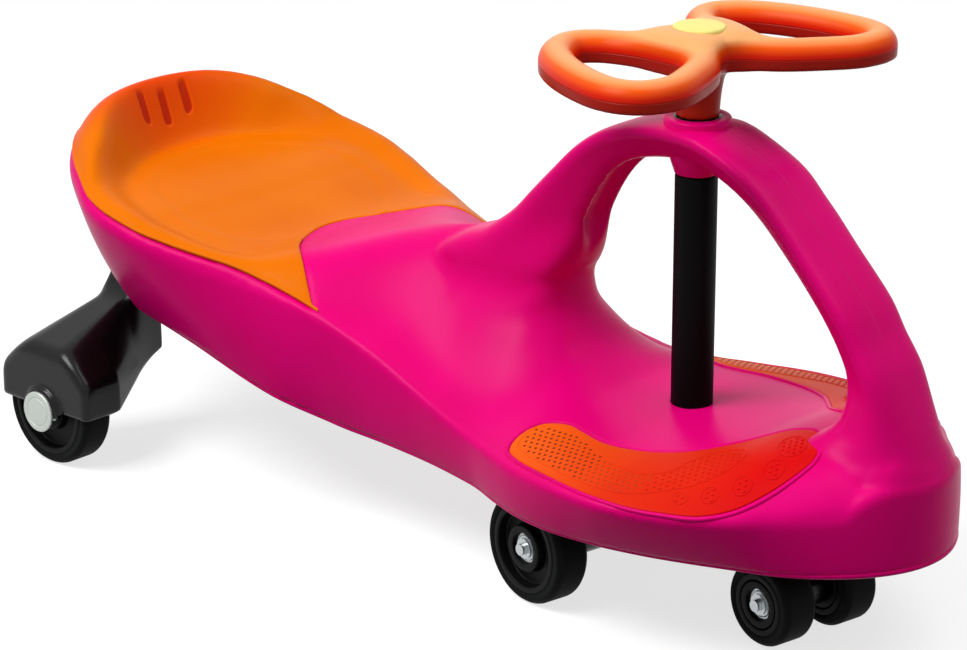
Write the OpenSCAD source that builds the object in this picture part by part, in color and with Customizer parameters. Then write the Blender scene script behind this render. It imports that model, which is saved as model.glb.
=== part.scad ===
// Wiggle car: a ride-on toy that is driven by swinging its steering wheel.
// Millimetres, +X forward, +Y left, +Z up. The origin is on the floor, midway along the body.

/* [Body] */
// Nose ahead of the steering axis
nose_reach = 204; // [190:1:230]
// Tail behind the rear axle
tail_overhang = 73; // [66:1:80]
// Widest part of the deck, over both rims
body_w = 292; // [270:1:310]
// Height of the seat pan at its back
seat_h = 205; // [198:1:212]
// Rise of the seat's back lip above the pan
lip_h = 48; // [30:1:60]
// Side wall of the moulded body
wall = 4; // [3:0.5:5]
// Top skin of the moulded body, under the seat and the deck
skin = 7.5; // [7:0.5:9]
// Depth of the stiffening ribs under the skin
rib_depth = 10; // [6:1:12]
// Thickness of the stiffening ribs
rib_t = 3; // [2:0.5:4]

/* [Arch] */
// Height of the arch's head, where the steering shaft comes out
head_h = 330; // [322:1:345]
// Width of the arch band
arch_w = 56; // [50:1:64]
// Depth of the arch band at the head
arch_depth = 27; // [24:1:32]
// Fall from the crown of the band to its edges
arch_crown = 8; // [5:0.5:10]
// Radius of the ring boss on the head
head_boss_r = 21.5; // [20:0.5:24]
// Height of the head's underside boss below the head
head_boss_drop = 39; // [36:1:42]

/* [Seat and foot pads] */
// Thickness of the seat insert
seat_t = 3.5; // [3:0.5:4]
// Width of the body's lip round the seat insert
seat_lip = 3.5; // [2.5:0.5:6]
// Distance from the steering axis to the seat's front corners
seat_front = 252; // [245:1:260]
// Distance from the steering axis to the tip of the body's tongue
tongue_tip = 344; // [330:1:355]
// Length of a slot in the seat's back lip
slot_len = 26; // [20:1:30]
// Width of a slot in the seat's back lip
slot_w = 6; // [4:0.5:8]
// Depth of a slot in the seat's back lip
slot_depth = 2; // [1:0.5:2.5]
// Spacing of the slots
slot_pitch = 21; // [18:1:26]
// Thickness of a foot pad
pad_t = 3; // [2:0.5:3.5]

/* [Steering] */
// Turn of the steering at rest, anticlockwise from above
rest_steer = -9; // [-30:1:30]
// Radius of the steering shaft
shaft_r = 8; // [7:0.5:9]
// Radius of a bush's outside
bush_r = 11; // [10.5:0.5:12]
// Radius of the column sleeve
sleeve_r = 14.25; // [13.5:0.25:16]
// Distance from the steering axis to the outermost point of a hand loop's centre line
loop_reach = 112; // [108:1:118]
// Width of a hand loop's rim
loop_w = 24; // [22:1:26]
// Height of a hand loop's straight lower skirt
loop_skirt = 8; // [6:0.5:11]
// Radius of the steering wheel's hub
hub_r = 26; // [24:1:30]
// Length of the steering wheel's neck
neck_len = 34; // [28:1:38]
// Radius of the neck at its foot
neck_r = 14.5; // [14:0.5:17]
// Radius of the hub cap
cap_r = 17.8; // [16:0.1:20]
// Height of the hub cap
cap_h = 6; // [4:0.5:8]

/* [Wheels] */
// Distance from the steering axis to the rear axle
wheelbase = 483; // [465:1:500]
// Rear wheel radius
rear_r = 42.5; // [40:0.5:45]
// Rear wheel width
rear_w = 26; // [22:1:28]
// Distance between the rear wheels' mid-planes
rear_track = 288; // [280:1:300]
// Main front wheel radius
main_r = 39; // [36:0.5:39.5]
// Main front wheel width
main_w = 26; // [22:1:30]
// Distance between the main wheels' outer faces
main_track = 225; // [215:1:226]
// Main axle behind the steering axis
main_trail = 40; // [36:1:46]
// Safety wheel radius
safety_r = 29; // [26:0.5:31]
// Safety wheel width
safety_w = 27; // [22:1:29]
// Distance between the safety wheels' outer faces
safety_track = 81; // [76:1:90]
// Safety axle ahead of the steering axis
safety_lead = 114; // [108:1:120]
// Gap between the safety wheels and the floor
safety_lift = 3.5; // [2:0.5:8]
// Tyre thickness
tyre_t = 8; // [6:0.5:9]
// Axle radius
axle_r = 4; // [3.5:0.25:4.5]
// Bearing outside radius
bearing_r = 11; // [10:0.5:12]
// Bearing width
bearing_w = 7; // [6:0.5:8]

/* [Rear legs] */
// Depth of the face where a leg meets the body, below the seat pan's back
leg_drop = 47; // [43:1:51]
// Length of a leg's strut along the car
strut_len = 30; // [28:1:31]
// Thickness of a leg's strut across the car
strut_t = 18; // [14:1:20]
// Distance from the centre plane to a strut's outer face
strut_out = 79; // [75:1:79]
// Width of a leg's fixing flange, inwards from the strut's outer face
flange_w = 64; // [58:1:70]
// Thickness of a leg's fixing flange
flange_t = 8; // [6:1:10]
// Wall of a leg's wheel hood
hood_wall = 3; // [2.5:0.5:4]
// Height of a hood's roof where it leaves the strut
hood_top = 116; // [110:1:122]
// Radius of the satin cap on a rear axle
axle_cap_r = 15.2; // [13:0.1:17]

/* [Hidden] */

// Colours
magenta = "#d8006f";
orange = "#f07c00";
red_orange = "#ee4a10";
wheel_orange = "#f26a1b";
pale_yellow = "#fff27a";
black_plastic = "#161616";
tyre_grey = "#2a2c2c";
steel = "#b9bec0";
nylon = "#d9d9d2";

// Fits
// Overrun of a cut past the face that it opens
over = 1;
// Clearance of a running fit, on the radius
run_gap = 0.05;
// Clearance between pieces that are seated on each other
seat_gap = 0.3;
// Facets of a round piece, of a rounded blend, and of the moulded body's round features and screw holes
round_fn = 96;
blend_fn = 32;
shell_fn = 40;
hole_fn = 16;

// Body stations run from 0 at the tail to 1 at the nose, with the steering axis at its own share
tail_reach = wheelbase + tail_overhang;
body_len = nose_reach + tail_reach;
half_w = body_w / 2;
steer_x = (tail_reach - nose_reach) / 2;
axis_share = 0.7316;
tail_round_share = 0.166;
nose_round_share = 0.229;
nose_power = 1.7;
end_share = 0.1;

// Half-width of the rim, as a share of the widest half-width
rim_w_shares = [[0, 0.95], [0.09, 0.93], [0.13, 0.955], [0.18, 0.966], [0.21, 0.945], [0.235, 0.91],
    [0.28, 0.835], [0.33, 0.765], [0.39, 0.72], [0.46, 0.695], [0.51, 0.70], [0.54, 0.72], [0.60, 0.78],
    [0.67, 0.905], [0.73, 0.98], [0.78, 1], [0.86, 1], [0.90, 0.98], [0.92, 0.925], [0.94, 0.885],
    [0.96, 0.845], [1, 0.81]];
// Half-width of the skirt's lower edge, as a share of the widest half-width
skirt_w_shares = [[0, 0.69], [0.15, 0.685], [0.24, 0.765], [0.34, 0.745], [0.41, 0.67], [0.51, 0.675],
    [0.60, 0.75], [0.64, 0.82], [0.68, 0.88], [0.72, 0.90], [0.76, 0.88], [0.80, 0.85], [0.88, 0.81],
    [0.93, 0.83], [1, 0.82]];
// Height of the rim below the lip, as a share of the seat height
rim_z_shares = [[0, 0.95], [0.13, 0.93], [0.18, 0.907], [0.21, 0.883], [0.28, 0.844], [0.33, 0.824],
    [0.39, 0.785], [0.46, 0.707], [0.51, 0.639], [0.54, 0.605], [0.60, 0.556], [0.67, 0.541],
    [0.73, 0.546], [0.85, 0.546], [0.93, 0.56], [1, 0.575]];
// Height of the top surface on the centre plane, as a share of the seat height
mid_z_shares = [[0, 1], [0.07, 1], [0.13, 0.985], [0.18, 0.96], [0.21, 0.93], [0.28, 0.88], [0.34, 0.917],
    [0.39, 0.966], [0.45, 1.02], [0.48, 1.045], [0.50, 1.065], [0.535, 1.075], [0.575, 0.976],
    [0.60, 0.854], [0.62, 0.756], [0.64, 0.70], [0.67, 0.654], [0.73, 0.639], [0.785, 0.649],
    [0.84, 0.678], [0.87, 0.712], [0.90, 0.73], [0.94, 0.73], [0.98, 0.683], [1, 0.634]];
// Height of the skirt's lower edge, as a share of the seat height
skirt_z_shares = [[0, 0.805], [0.02, 0.78], [0.075, 0.693], [0.125, 0.595], [0.15, 0.556], [0.24, 0.53],
    [0.34, 0.43], [0.41, 0.375], [0.47, 0.365], [0.60, 0.36], [0.65, 0.355], [0.88, 0.355], [1, 0.352]];
// Highest roof of the hollow under the body, as a share of the seat height
roof_shares = [[0, 0.95], [0.10, 0.95], [0.13, 0.94], [0.20, 0.92], [0.24, 0.90], [0.30, 0.90], [0.36, 0.92],
    [0.44, 0.94], [0.48, 0.89], [0.52, 0.79], [0.56, 0.67], [0.60, 0.59], [0.66, 0.59], [0.72, 0.60],
    [0.80, 0.61], [0.88, 0.63], [0.95, 0.63], [1, 0.60]];
// Rise of the lip round the seat, as a share of the back lip
lip_shares = [[0, 1], [0.035, 1], [0.06, 0.87], [0.087, 0.66], [0.113, 0.42], [0.13, 0.28], [0.17, 0.19],
    [0.23, 0.16], [0.287, 0.125], [0.337, 0], [1, 0]];
// Powers of the fall from the centre plane to the rim: flat over the seat, a bell over the hump
fall_in_shares = [[0, 12], [0.29, 12], [0.36, 4], [0.44, 1.7], [0.60, 1.7], [0.68, 2.2], [1, 2.2]];
fall_out_shares = [[0, 1], [0.33, 1], [0.44, 2], [0.58, 2.2], [0.66, 1.2], [0.72, 1], [1, 1]];
// Where the seat's lip starts to rise and where its crest is, from the seat's middle to the rim
lip_foot_shares = [[0, 0.58], [0.07, 0.60], [0.15, 0.71], [0.20, 0.76], [1, 0.76]];
lip_crest_shares = [[0, 0.79], [0.085, 0.815], [0.104, 0.88], [0.128, 0.93], [0.171, 0.94], [1, 0.94]];
// Fall from the lip's crest out to the rim, as a share of the lip's rise
lip_drop_share = 0.5;
// Outward bulge of the side wall, as a share of its height
wall_bulge_share = 0.05;

// Arch stations from the hump over the head to the nose: place along the body, height as a share of
// the head, half-width as a share of the band's, depth as a share of the depth at the head
arch_shares = [[0.42, 0.555, 0.80, 1], [0.449, 0.600, 1.05, 1.35], [0.478, 0.642, 1.22, 1.9],
    [0.507, 0.671, 1.20, 2.45],
    [0.5395, 0.724, 1.12, 2.40], [0.567, 0.788, 1.07, 1.88], [0.5895, 0.839, 1.03, 1.45],
    [0.617, 0.900, 1, 1.18], [0.6434, 0.942, 1, 1.05], [0.6684, 0.970, 1, 1], [0.6987, 0.991, 1, 0.98],
    [0.7316, 1, 1, 1], [0.7658, 0.994, 1, 0.97], [0.8184, 0.930, 1, 0.95], [0.8513, 0.867, 1, 0.95],
    [0.8816, 0.797, 1, 0.95], [0.9184, 0.709, 1.03, 0.97], [0.9382, 0.645, 1.07, 1.05],
    [0.954, 0.594, 1.12, 1.25], [0.9671, 0.535, 1.16, 1.6], [0.979, 0.470, 1.20, 2.1],
    [0.9895, 0.400, 1.22, 2.4], [0.9934, 0.330, 1.22, 2.4]];
// First and last place of the hollow inside the arch, which opens into the body's underside at both ends
arch_core_shares = [0.122, 0.933];

// Outline of a foot pad round from its heel, as shares of the deck's half-width from the steering axis
pad_shares = [[-0.40, 0.80], [-0.43, 0.73], [-0.42, 0.65], [-0.37, 0.58], [-0.27, 0.54], [-0.16, 0.56],
    [-0.02, 0.59], [0.13, 0.58], [0.28, 0.54], [0.42, 0.46], [0.53, 0.35], [0.63, 0.24], [0.74, 0.165],
    [0.84, 0.155], [0.93, 0.225], [0.975, 0.34], [0.965, 0.45], [0.92, 0.60], [0.85, 0.73], [0.74, 0.83],
    [0.60, 0.89], [0.42, 0.94], [0.21, 0.95], [0, 0.925], [-0.20, 0.88], [-0.33, 0.84]];
// Last station of the pads' slab
pad_end_share = 0.945;

// Centre line of a hand loop round from the hub, as shares of its reach
loop_shares = [[0.21, 0.20], [0.34, 0.28], [0.47, 0.47], [0.58, 0.71], [0.54, 0.92], [0.34, 1],
    [-0.04, 0.93], [-0.36, 0.77], [-0.50, 0.56], [-0.41, 0.38], [-0.18, 0.26], [0.04, 0.195]];

// Place of the slots along the seat's back lip
slot_share = 0.048;
slot_span_share = 0.008;

// Cross ribs under the body, as shares of its length
cross_rib_shares = [0.20, 0.29, 0.38, 0.47, 0.56];
// Screws of the seat, as shares of the way from the tail to the seat's front corners and of the half-width
seat_screw_shares = [[0.325, 0.45], [0.625, 0.72], [0.85, 0.84]];

// Steering stack, from the floor up
deck_h = seat_h * curve(mid_z_shares, axis_share);
main_axle_z = main_r;
safety_axle_z = safety_r + safety_lift;
rear_axle_z = rear_r;
washer_t = 2.4;
nut_r = 13.5;
nut_h = 11;
bush_flange_t = 3;
bush_flange_r = 18;
bush_spigot = 6;
deck_boss_drop = 31;
deck_boss_r = 20;
boss_bottom = deck_h - deck_boss_drop;
carrier_top = boss_bottom - bush_flange_t - washer_t - 2 * seat_gap;
carrier_rise = 7;
carrier_bottom = main_axle_z + carrier_rise;
carrier_len = carrier_top - carrier_bottom;
carrier_r = 24;
shaft_bottom = carrier_bottom - washer_t - nut_h - 2 * seat_gap;
sleeve_bottom = deck_h + seat_gap;
sleeve_top = head_h - head_boss_drop - seat_gap;
upper_flange_t = 2;
upper_flange_r = 17;
neck_bottom = head_h + 2 * seat_gap;
loop_z = neck_bottom + neck_len;
loop_h = loop_skirt + loop_w / 2;
hub_rise = 0.5;
hub_top = loop_z + loop_h + hub_rise;
neck_flare_share = 0.77;
cap_taper_share = 0.9;
pocket_depth = 11;
pocket_r = 15;
pocket_floor = hub_top - pocket_depth;
cap_spigot = 3;
bolt_head_r = 7.5;
bolt_head_h = 5.3;
bolt_len = 25;
bolt_washer_r = 13;
bolt_washer_t = 2;

// Wheels and axles
hub_boss_r = 16;
rim_t = 4;
web_recess = 7;
bearing_inset = 3;
tyre_round = 3;
axle_tip = 3;
push_nut_r = 7;
push_nut_t = 2.2;
main_mid = main_track / 2 - main_w / 2;
safety_mid = safety_track / 2 - safety_w / 2;
rear_mid = rear_track / 2;
beam_r = 15;
eye_r = 12;
beam_half = main_mid - main_w / 2 - seat_gap;
eye_half = safety_mid - safety_w / 2 - seat_gap;

// Rear legs
leg_top = seat_h - leg_drop;
wheel_gap = 2;
side_gap = 0.5;
well_r = rear_r + wheel_gap;
well_in = rear_mid - rear_w / 2 - side_gap;
well_out = rear_mid + rear_w / 2 + side_gap;
hood_half = well_r + hood_wall;
hood_in = well_in - hood_wall;
hood_out = well_out + hood_wall;
hood_bevel = 20;
hood_foot = rear_axle_z + over;
hood_end = rear_axle_z + well_r + hood_wall;
hood_shoulder = hood_end - hood_bevel;
hood_roof_in = 22;
axle_boss_r = 18;
axle_boss_h = 4;
axle_cap_h = 2.3;
cap_face = hood_out + axle_boss_h + axle_cap_h;
strut_in = strut_out - strut_t;
flange_in = strut_out - flange_w;
flange_mid = (flange_in + strut_in) / 2;
rear_x = steer_x - wheelbase;
leg_screw_r = 2.5;
leg_screw_len = 26;
leg_screw_head_r = 5;
leg_screw_head_h = 4;
leg_screw_pitch = flange_w / 3;
rear_nut_r = 7.5;
rear_nut_h = 6.5;
nut_room = rear_nut_r + hood_wall;

// Seat fixing
seat_post_r = 5;
seat_post_out = 4;
seat_post_len = skin + seat_post_out;
seat_screw_r = 2;
seat_screw_len = 10;
seat_washer_r = 8;
seat_washer_t = 2;

// Value on the smooth curve through a table's rows at a place along it
function row_at(table, s, i = 0) =
    (i >= len(table) - 2 || s < table[i + 1][0]) ? i : row_at(table, s, i + 1);
function row_slope(table, i, c) =
    let (a = max(i - 1, 0), b = min(i + 1, len(table) - 1))
    (table[b][c] - table[a][c]) / (table[b][0] - table[a][0]);
function curve(table, s, c = 1) =
    let (i = row_at(table, s), h = table[i + 1][0] - table[i][0])
    let (u = min(max((s - table[i][0]) / h, 0), 1), v = 1 - u)
    let (a = table[i][c], b = table[i + 1][c])
    a * v * v * (1 + 2 * u) + b * u * u * (1 + 2 * v)
    + h * u * v * (v * row_slope(table, i, c) - u * row_slope(table, i + 1, c));
function smooth_step(u) = let (k = min(max(u, 0), 1)) k * k * (3 - 2 * k);

// Body surfaces
function station_x(s) =
    steer_x + (s - axis_share) * (s < axis_share ? tail_reach / axis_share : nose_reach / (1 - axis_share));
function station_s(x) =
    axis_share + x * (x < 0 ? axis_share / tail_reach : (1 - axis_share) / nose_reach);
function end_round(s) =
    s < tail_round_share ? sqrt(max(1 - pow(1 - s / tail_round_share, 2), 0))
    : s > 1 - nose_round_share
        ? sqrt(max(1 - pow((s - 1 + nose_round_share) / nose_round_share, nose_power), 0)) : 1;
function rim_w(s) = half_w * curve(rim_w_shares, s) * max(end_round(s), end_share);
function skirt_w(s) = half_w * curve(skirt_w_shares, s) * max(end_round(s), end_share);
function skirt_z(s) = seat_h * curve(skirt_z_shares, s);
function from_middle(s, t) =
    let (u = max(1 - s / tail_round_share, 0)) min(sqrt(u * u + t * t * (1 - u * u)), 1);
function top_z(s, t) =
    let (r = from_middle(s, t), a = curve(fall_in_shares, s), b = curve(fall_out_shares, s))
    let (mid = curve(mid_z_shares, s), rim = curve(rim_z_shares, s))
    let (fall = 1 - pow(1 - pow(r, a), b))
    let (foot = curve(lip_foot_shares, s), crest = curve(lip_crest_shares, s))
    let (rise = smooth_step((r - foot) / (crest - foot)), drop = pow(max((r - crest) / (1 - crest), 0), 2))
    seat_h * (mid + (rim - mid) * fall) + lip_h * curve(lip_shares, s) * (rise - lip_drop_share * drop);

// Closed solid through rings that have the same number of points. Each face is split outwards from the
// centre plane, so that the left side mirrors the right and a slab's underside matches its top.
module loft(rings) {
    n = len(rings[0]);
    last = len(rings) - 1;
    sides = [for (i = [0 : last - 1], j = [0 : n - 1])
        let (k = (j + 1) % n, a = i * n, b = (i + 1) * n)
        each abs(rings[i][j][1]) < abs(rings[i][k][1])
            ? [[a + j, b + j, b + k], [a + j, b + k, a + k]]
            : [[a + j, b + j, a + k], [b + j, b + k, a + k]]];
    caps = [[for (j = [0 : n - 1]) j], [for (j = [n - 1 : -1 : 0]) last * n + j]];
    polyhedron(points = [for (r = rings) each r], faces = concat(sides, caps));
}

// Places up the side wall, and places across the top that crowd a little towards the rims
side_steps = [0, 0.3, 0.6, 0.85];
spread_power = 0.8;
function spread(t) = sign(t) * pow(abs(t), spread_power);
// Stations that crowd towards both ends
function spaced(lo, hi, n) = [for (i = [0 : n]) lo + (hi - lo) * (1 - cos(180 * i / n)) / 2];

// Half-width of the outer side wall, from 0 at the skirt's edge to 1 at the rim
function side_w(s, u) =
    let (high = top_z(s, 1) - skirt_z(s))
    skirt_w(s) + (rim_w(s) - skirt_w(s)) * u + 4 * wall_bulge_share * high * u * (1 - u);
// Ring of the body at a station: up the left wall, over the top and down the right wall
function body_ring(s, steps, inset, drop, below) =
    let (lo = skirt_z(s), hi = top_z(s, 1), lean = (rim_w(s) - skirt_w(s)) / (hi - lo))
    let (inward = inset * sqrt(1 + lean * lean), top = 1 - drop / (hi - lo))
    let (roof = drop > 0 ? seat_h * curve(roof_shares, s) : head_h)
    let (side = [for (q = side_steps)
        [side_w(s, q * top) - inward, lo + (hi - lo) * q * top - below * (1 - q)]])
    let (wide = side_w(s, top) - inward)
    let (over_top = [for (j = [0 : steps]) let (y = wide * spread(cos(180 * j / steps)))
        [y, min(top_z(s, min(abs(y) / rim_w(s), 1)) - drop, roof)]])
    let (other = [for (i = [len(side) - 1 : -1 : 0]) [-side[i][0], side[i][1]]])
    [for (p = concat(side, over_top, other)) [station_x(s), p[0], p[1]]];

module tub() {
    loft([for (s = spaced(0, 1, 36)) body_ring(s, 16, 0, 0, 0)]);
}

module cavity(lower = 0) {
    inset_share = wall / body_len;
    translate([0, 0, -lower])
        loft([for (s = spaced(inset_share, 1 - inset_share, 28)) body_ring(s, 10, wall, skin, over)]);
}

// Arch
function arch_point(u) = [station_x(curve(arch_rows, u, 1)), head_h * curve(arch_rows, u, 2)];
arch_rows = [for (i = [0 : len(arch_shares) - 1]) concat([i], arch_shares[i])];
arch_last = len(arch_shares) - 1;
arch_du = 0.05;
function arch_ring(u, inset, steps) =
    let (a = arch_point(max(u - arch_du, 0)), b = arch_point(min(u + arch_du, arch_last)))
    let (d = (b - a) / norm(b - a), p = arch_point(u))
    let (h = arch_w / 2 * curve(arch_rows, u, 3) - inset, depth = arch_depth * curve(arch_rows, u, 4) - inset)
    let (low = max(depth - arch_crown - inset, inset))
    let (top = [for (j = [0 : steps]) let (t = 1 - 2 * j / steps) [h * t, -inset - arch_crown * t * t]])
    let (under = [for (j = [1 : steps]) let (q = 180 + 180 * j / (steps + 1))
        [h * cos(q), -inset - arch_crown + low * sin(q)]])
    [for (q = concat(top, under))
        [p[0] - q[1] * d[1], q[0], p[1] + q[1] * d[0]]];
module arch(span, inset, steps, n) {
    loft([for (i = [0 : n]) arch_ring(arch_last * (span[0] + (span[1] - span[0]) * i / n), inset, steps)]);
}

// Outlines in plan
module tongue(grow) {
    half = rim_w(station_s(-seat_front));
    depth = tongue_tip - seat_front;
    polygon(concat([for (v = [-1 : 0.05 : 1]) [-tongue_tip - grow + depth * v * v, v * (half + grow)]],
        [[0, half + grow], [0, -half - grow]]));
}
module pad_outline(grow) {
    offset(r = grow)
        polygon([for (p = pad_shares) p * half_w]);
}

// Slab that follows the body's top surface between two depths; grow adds a strip at its back and sides, so
// that a pocket keeps the same facets as the piece that lies in it
module surface_slab(s_lo, s_hi, inset, grow, upper, lower, n, steps) {
    stations = spaced(s_lo + inset / body_len, s_hi, n);
    loft([for (s = grow > 0 ? concat([stations[0] - grow / body_len], stations) : stations)
        let (w = rim_w(s) - inset)
        let (middle = [for (j = [0 : steps]) w * spread(cos(180 * j / steps))])
        let (ys = grow > 0 ? concat([w + grow], middle, [-w - grow]) : middle, last = len(ys) - 1)
        let (zs = [for (y = ys) top_z(s, min(abs(y) / rim_w(s), 1))])
        concat([for (j = [last : -1 : 0]) [station_x(s), ys[j], zs[j] - lower]],
            [for (j = [0 : last]) [station_x(s), ys[j], zs[j] + upper]])]);
}
module seat_slab(grow, upper, lower) {
    difference() {
        surface_slab(0, station_s(-seat_front), seat_lip, grow, upper, lower, 18, 14);
        translate([steer_x, 0, 0])
            linear_extrude(head_h)
                tongue(-grow);
    }
}
module pad_slab(side, grow, upper, lower) {
    intersection() {
        surface_slab(station_s(-half_w / 2), pad_end_share, wall, grow, upper, lower, 14, 14);
        translate([steer_x, 0, 0])
            scale([1, side, 1])
                linear_extrude(head_h)
                    pad_outline(grow);
    }
}

module at_axis() {
    translate([steer_x, 0, 0])
        children();
}
module seat_screw_places() {
    for (p = seat_screw_shares, side = [-1, 1]) {
        s = p[0] * station_s(-seat_front);
        y = side * p[1] * rim_w(s);
        translate([station_x(s), y, top_z(s, p[1])])
            children();
    }
}
module slot_places() {
    for (k = [-1, 0, 1]) {
        t = abs(k) * slot_pitch / rim_w(slot_share);
        rise = top_z(slot_share - slot_span_share, t) - top_z(slot_share + slot_span_share, t);
        translate([station_x(slot_share), k * slot_pitch, top_z(slot_share, t)])
            rotate([0, atan(rise / (2 * slot_span_share * body_len)), 0])
                children();
    }
}
module leg_screw_places() {
    for (side = [-1, 1], end = [-1, 1]) {
        translate([rear_x, side * (flange_mid + end * leg_screw_pitch / 2), leg_top])
            children();
    }
}

module leg_blocks() {
    for (face = [0, 1]) {
        mirror([0, face, 0])
            translate([rear_x - strut_len / 2, flange_in, leg_top])
                cube([strut_len, flange_w, seat_h]);
    }
}
module rib_plates() {
    for (s = cross_rib_shares) {
        translate([station_x(s) - rib_t / 2, -half_w, 0])
            cube([rib_t, body_w, head_h]);
    }
    for (side = [-1, 1]) {
        translate([station_x(cross_rib_shares[0]), side * strut_in / 2 - rib_t / 2, 0])
            cube([station_x(cross_rib_shares[4]) - station_x(cross_rib_shares[0]), rib_t, head_h]);
    }
}

// Hollow under the body, less what hangs down into it
module hollow() {
    difference() {
        cavity();
        leg_blocks();
        at_axis() translate([0, 0, boss_bottom])
            cylinder(r = deck_boss_r, h = deck_h, $fn = shell_fn);
        difference() {
            rib_plates();
            cavity(rib_depth);
        }
    }
}

// Smooth shell of the body, held to the body's length, before its bores and screw holes
module moulded_shell() {
    resize([body_len, 0, 0])
        difference() {
            union() {
                difference() {
                    union() {
                        tub();
                        arch([0, 1], 0, 8, 32);
                    }
                    hollow();
                    arch(arch_core_shares, wall, 6, 16);
                }
                at_axis() translate([0, 0, head_h - head_boss_drop])
                    cylinder(r = head_boss_r, h = head_boss_drop, $fn = shell_fn);
            }
            seat_slab(seat_gap, seat_h, seat_t + seat_gap);
            for (side = [-1, 1]) {
                pad_slab(side, seat_gap, skin, pad_t + seat_gap);
            }
        }
}
module body_shell() {
    color(magenta)
    difference() {
        moulded_shell();
        at_axis() cylinder(r = bush_r + seat_gap, h = head_h + over, $fn = shell_fn);
        at_axis() translate([0, 0, head_h - upper_flange_t])
            cylinder(r = upper_flange_r + seat_gap, h = upper_flange_t + over, $fn = shell_fn);
        at_axis() translate([0, 0, sleeve_bottom - seat_gap])
            cylinder(r = sleeve_r + seat_gap, h = sleeve_top - sleeve_bottom + 2 * seat_gap, $fn = shell_fn);
        seat_screw_places()
            translate([0, 0, -seat_h])
                cylinder(r = seat_post_r + seat_gap, h = seat_h, $fn = hole_fn);
        seat_screw_places()
            translate([0, 0, -seat_h])
                cylinder(r = seat_washer_r + seat_gap, h = seat_h - seat_post_len, $fn = hole_fn);
        leg_screw_places()
            translate([0, 0, -over])
                cylinder(r = leg_screw_r + seat_gap, h = leg_screw_len - leg_screw_head_h, $fn = hole_fn);
    }
}

module slot_outline() {
    hull() {
        for (end = [-1, 1]) {
            translate([end * (slot_len - slot_w) / 2, 0])
                circle(d = slot_w, $fn = hole_fn);
        }
    }
}
module seat_insert() {
    color(orange)
    difference() {
        union() {
            seat_slab(0, 0, seat_t);
            seat_screw_places()
                translate([0, 0, -seat_post_len])
                    cylinder(r = seat_post_r, h = seat_post_len - seat_t / 2, $fn = blend_fn);
        }
        seat_screw_places()
            translate([0, 0, -seat_post_len - over])
                cylinder(r = seat_screw_r + run_gap, h = seat_screw_len, $fn = blend_fn);
        slot_places()
            translate([0, 0, -slot_depth])
                linear_extrude(slot_len)
                    slot_outline();
    }
}

// Screw with a wide washer head, its head's underside at the origin, shank up
module pan_screw(r, len, head_r, head_h) {
    cylinder(r = r, h = len, $fn = round_fn);
    translate([0, 0, -head_h])
        cylinder(r = head_r, h = head_h, $fn = round_fn);
}
module seat_screws() {
    color(steel)
    seat_screw_places()
        translate([0, 0, -seat_post_len - seat_gap])
            pan_screw(seat_screw_r, seat_screw_len - over - seat_gap, seat_washer_r, seat_washer_t);
}

module foot_pad(side) {
    color(red_orange)
    pad_slab(side, 0, 0, pad_t);
}
module foot_pad_left() {
    foot_pad(1);
}
module foot_pad_right() {
    foot_pad(-1);
}

// Bushes, sleeve and shaft of the steering column
module ring(r_out, r_in, h) {
    difference() {
        cylinder(r = r_out, h = h, $fn = round_fn);
        translate([0, 0, -over])
            cylinder(r = r_in, h = h + 2 * over, $fn = round_fn);
    }
}
module upper_bush() {
    color(black_plastic)
    at_axis() {
        difference() {
            union() {
                translate([0, 0, sleeve_top - bush_spigot])
                    cylinder(r = bush_r, h = head_h - sleeve_top + bush_spigot, $fn = round_fn);
                translate([0, 0, head_h - upper_flange_t])
                    cylinder(r = upper_flange_r, h = upper_flange_t + seat_gap, $fn = round_fn);
            }
            cylinder(r = shaft_r + run_gap, h = head_h + over, $fn = round_fn);
        }
    }
}
module lower_bush() {
    color(nylon)
    at_axis() {
        difference() {
            union() {
                translate([0, 0, boss_bottom - bush_flange_t])
                    cylinder(r = bush_flange_r, h = bush_flange_t, $fn = round_fn);
                translate([0, 0, boss_bottom - bush_flange_t])
                    cylinder(r = bush_r, h = sleeve_bottom + bush_spigot - boss_bottom + bush_flange_t,
                        $fn = round_fn);
            }
            cylinder(r = shaft_r + run_gap, h = head_h, $fn = round_fn);
        }
    }
}
module column_sleeve() {
    color(black_plastic)
    at_axis() translate([0, 0, sleeve_bottom])
        ring(sleeve_r, bush_r + run_gap, sleeve_top - sleeve_bottom);
}
module turned() {
    at_axis() rotate([0, 0, rest_steer])
        children();
}
module steering_shaft() {
    color(steel)
    turned() {
        difference() {
            translate([0, 0, shaft_bottom])
                cylinder(r = shaft_r, h = pocket_floor - seat_gap - shaft_bottom, $fn = round_fn);
            translate([0, 0, pocket_floor - bolt_len])
                cylinder(r = axle_r + run_gap, h = bolt_len + over, $fn = round_fn);
        }
    }
}

// Steering wheel with two hand loops: points of a closed smooth curve, and the rim's ring there
function closed_curve(table, u) =
    let (n = len(table), i = floor(u), f = u - i)
    let (a = table[(i + n - 1) % n], b = table[i % n], c = table[(i + 1) % n], d = table[(i + 2) % n])
    b + f * (c - a + f * (2 * a - 5 * b + 4 * c - d + f * (3 * b - a - 3 * c + d))) / 2;
loop_du = 0.1;
loop_steps = 4;
loop_arc = 20;
function loop_ring(u) =
    let (p = loop_reach * closed_curve(loop_shares, u), q = closed_curve(loop_shares, u + loop_du))
    let (d = q - closed_curve(loop_shares, u), n = [-d[1], d[0]] / norm(d), r = loop_w / 2)
    let (section = concat([[r, 0]], [for (a = [0 : loop_arc : 180]) [r * cos(a), loop_skirt + r * sin(a)]],
        [[-r, 0]]))
    [for (e = section) [p[0] + n[0] * e[0], p[1] + n[1] * e[0], loop_z + e[1]]];
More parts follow.
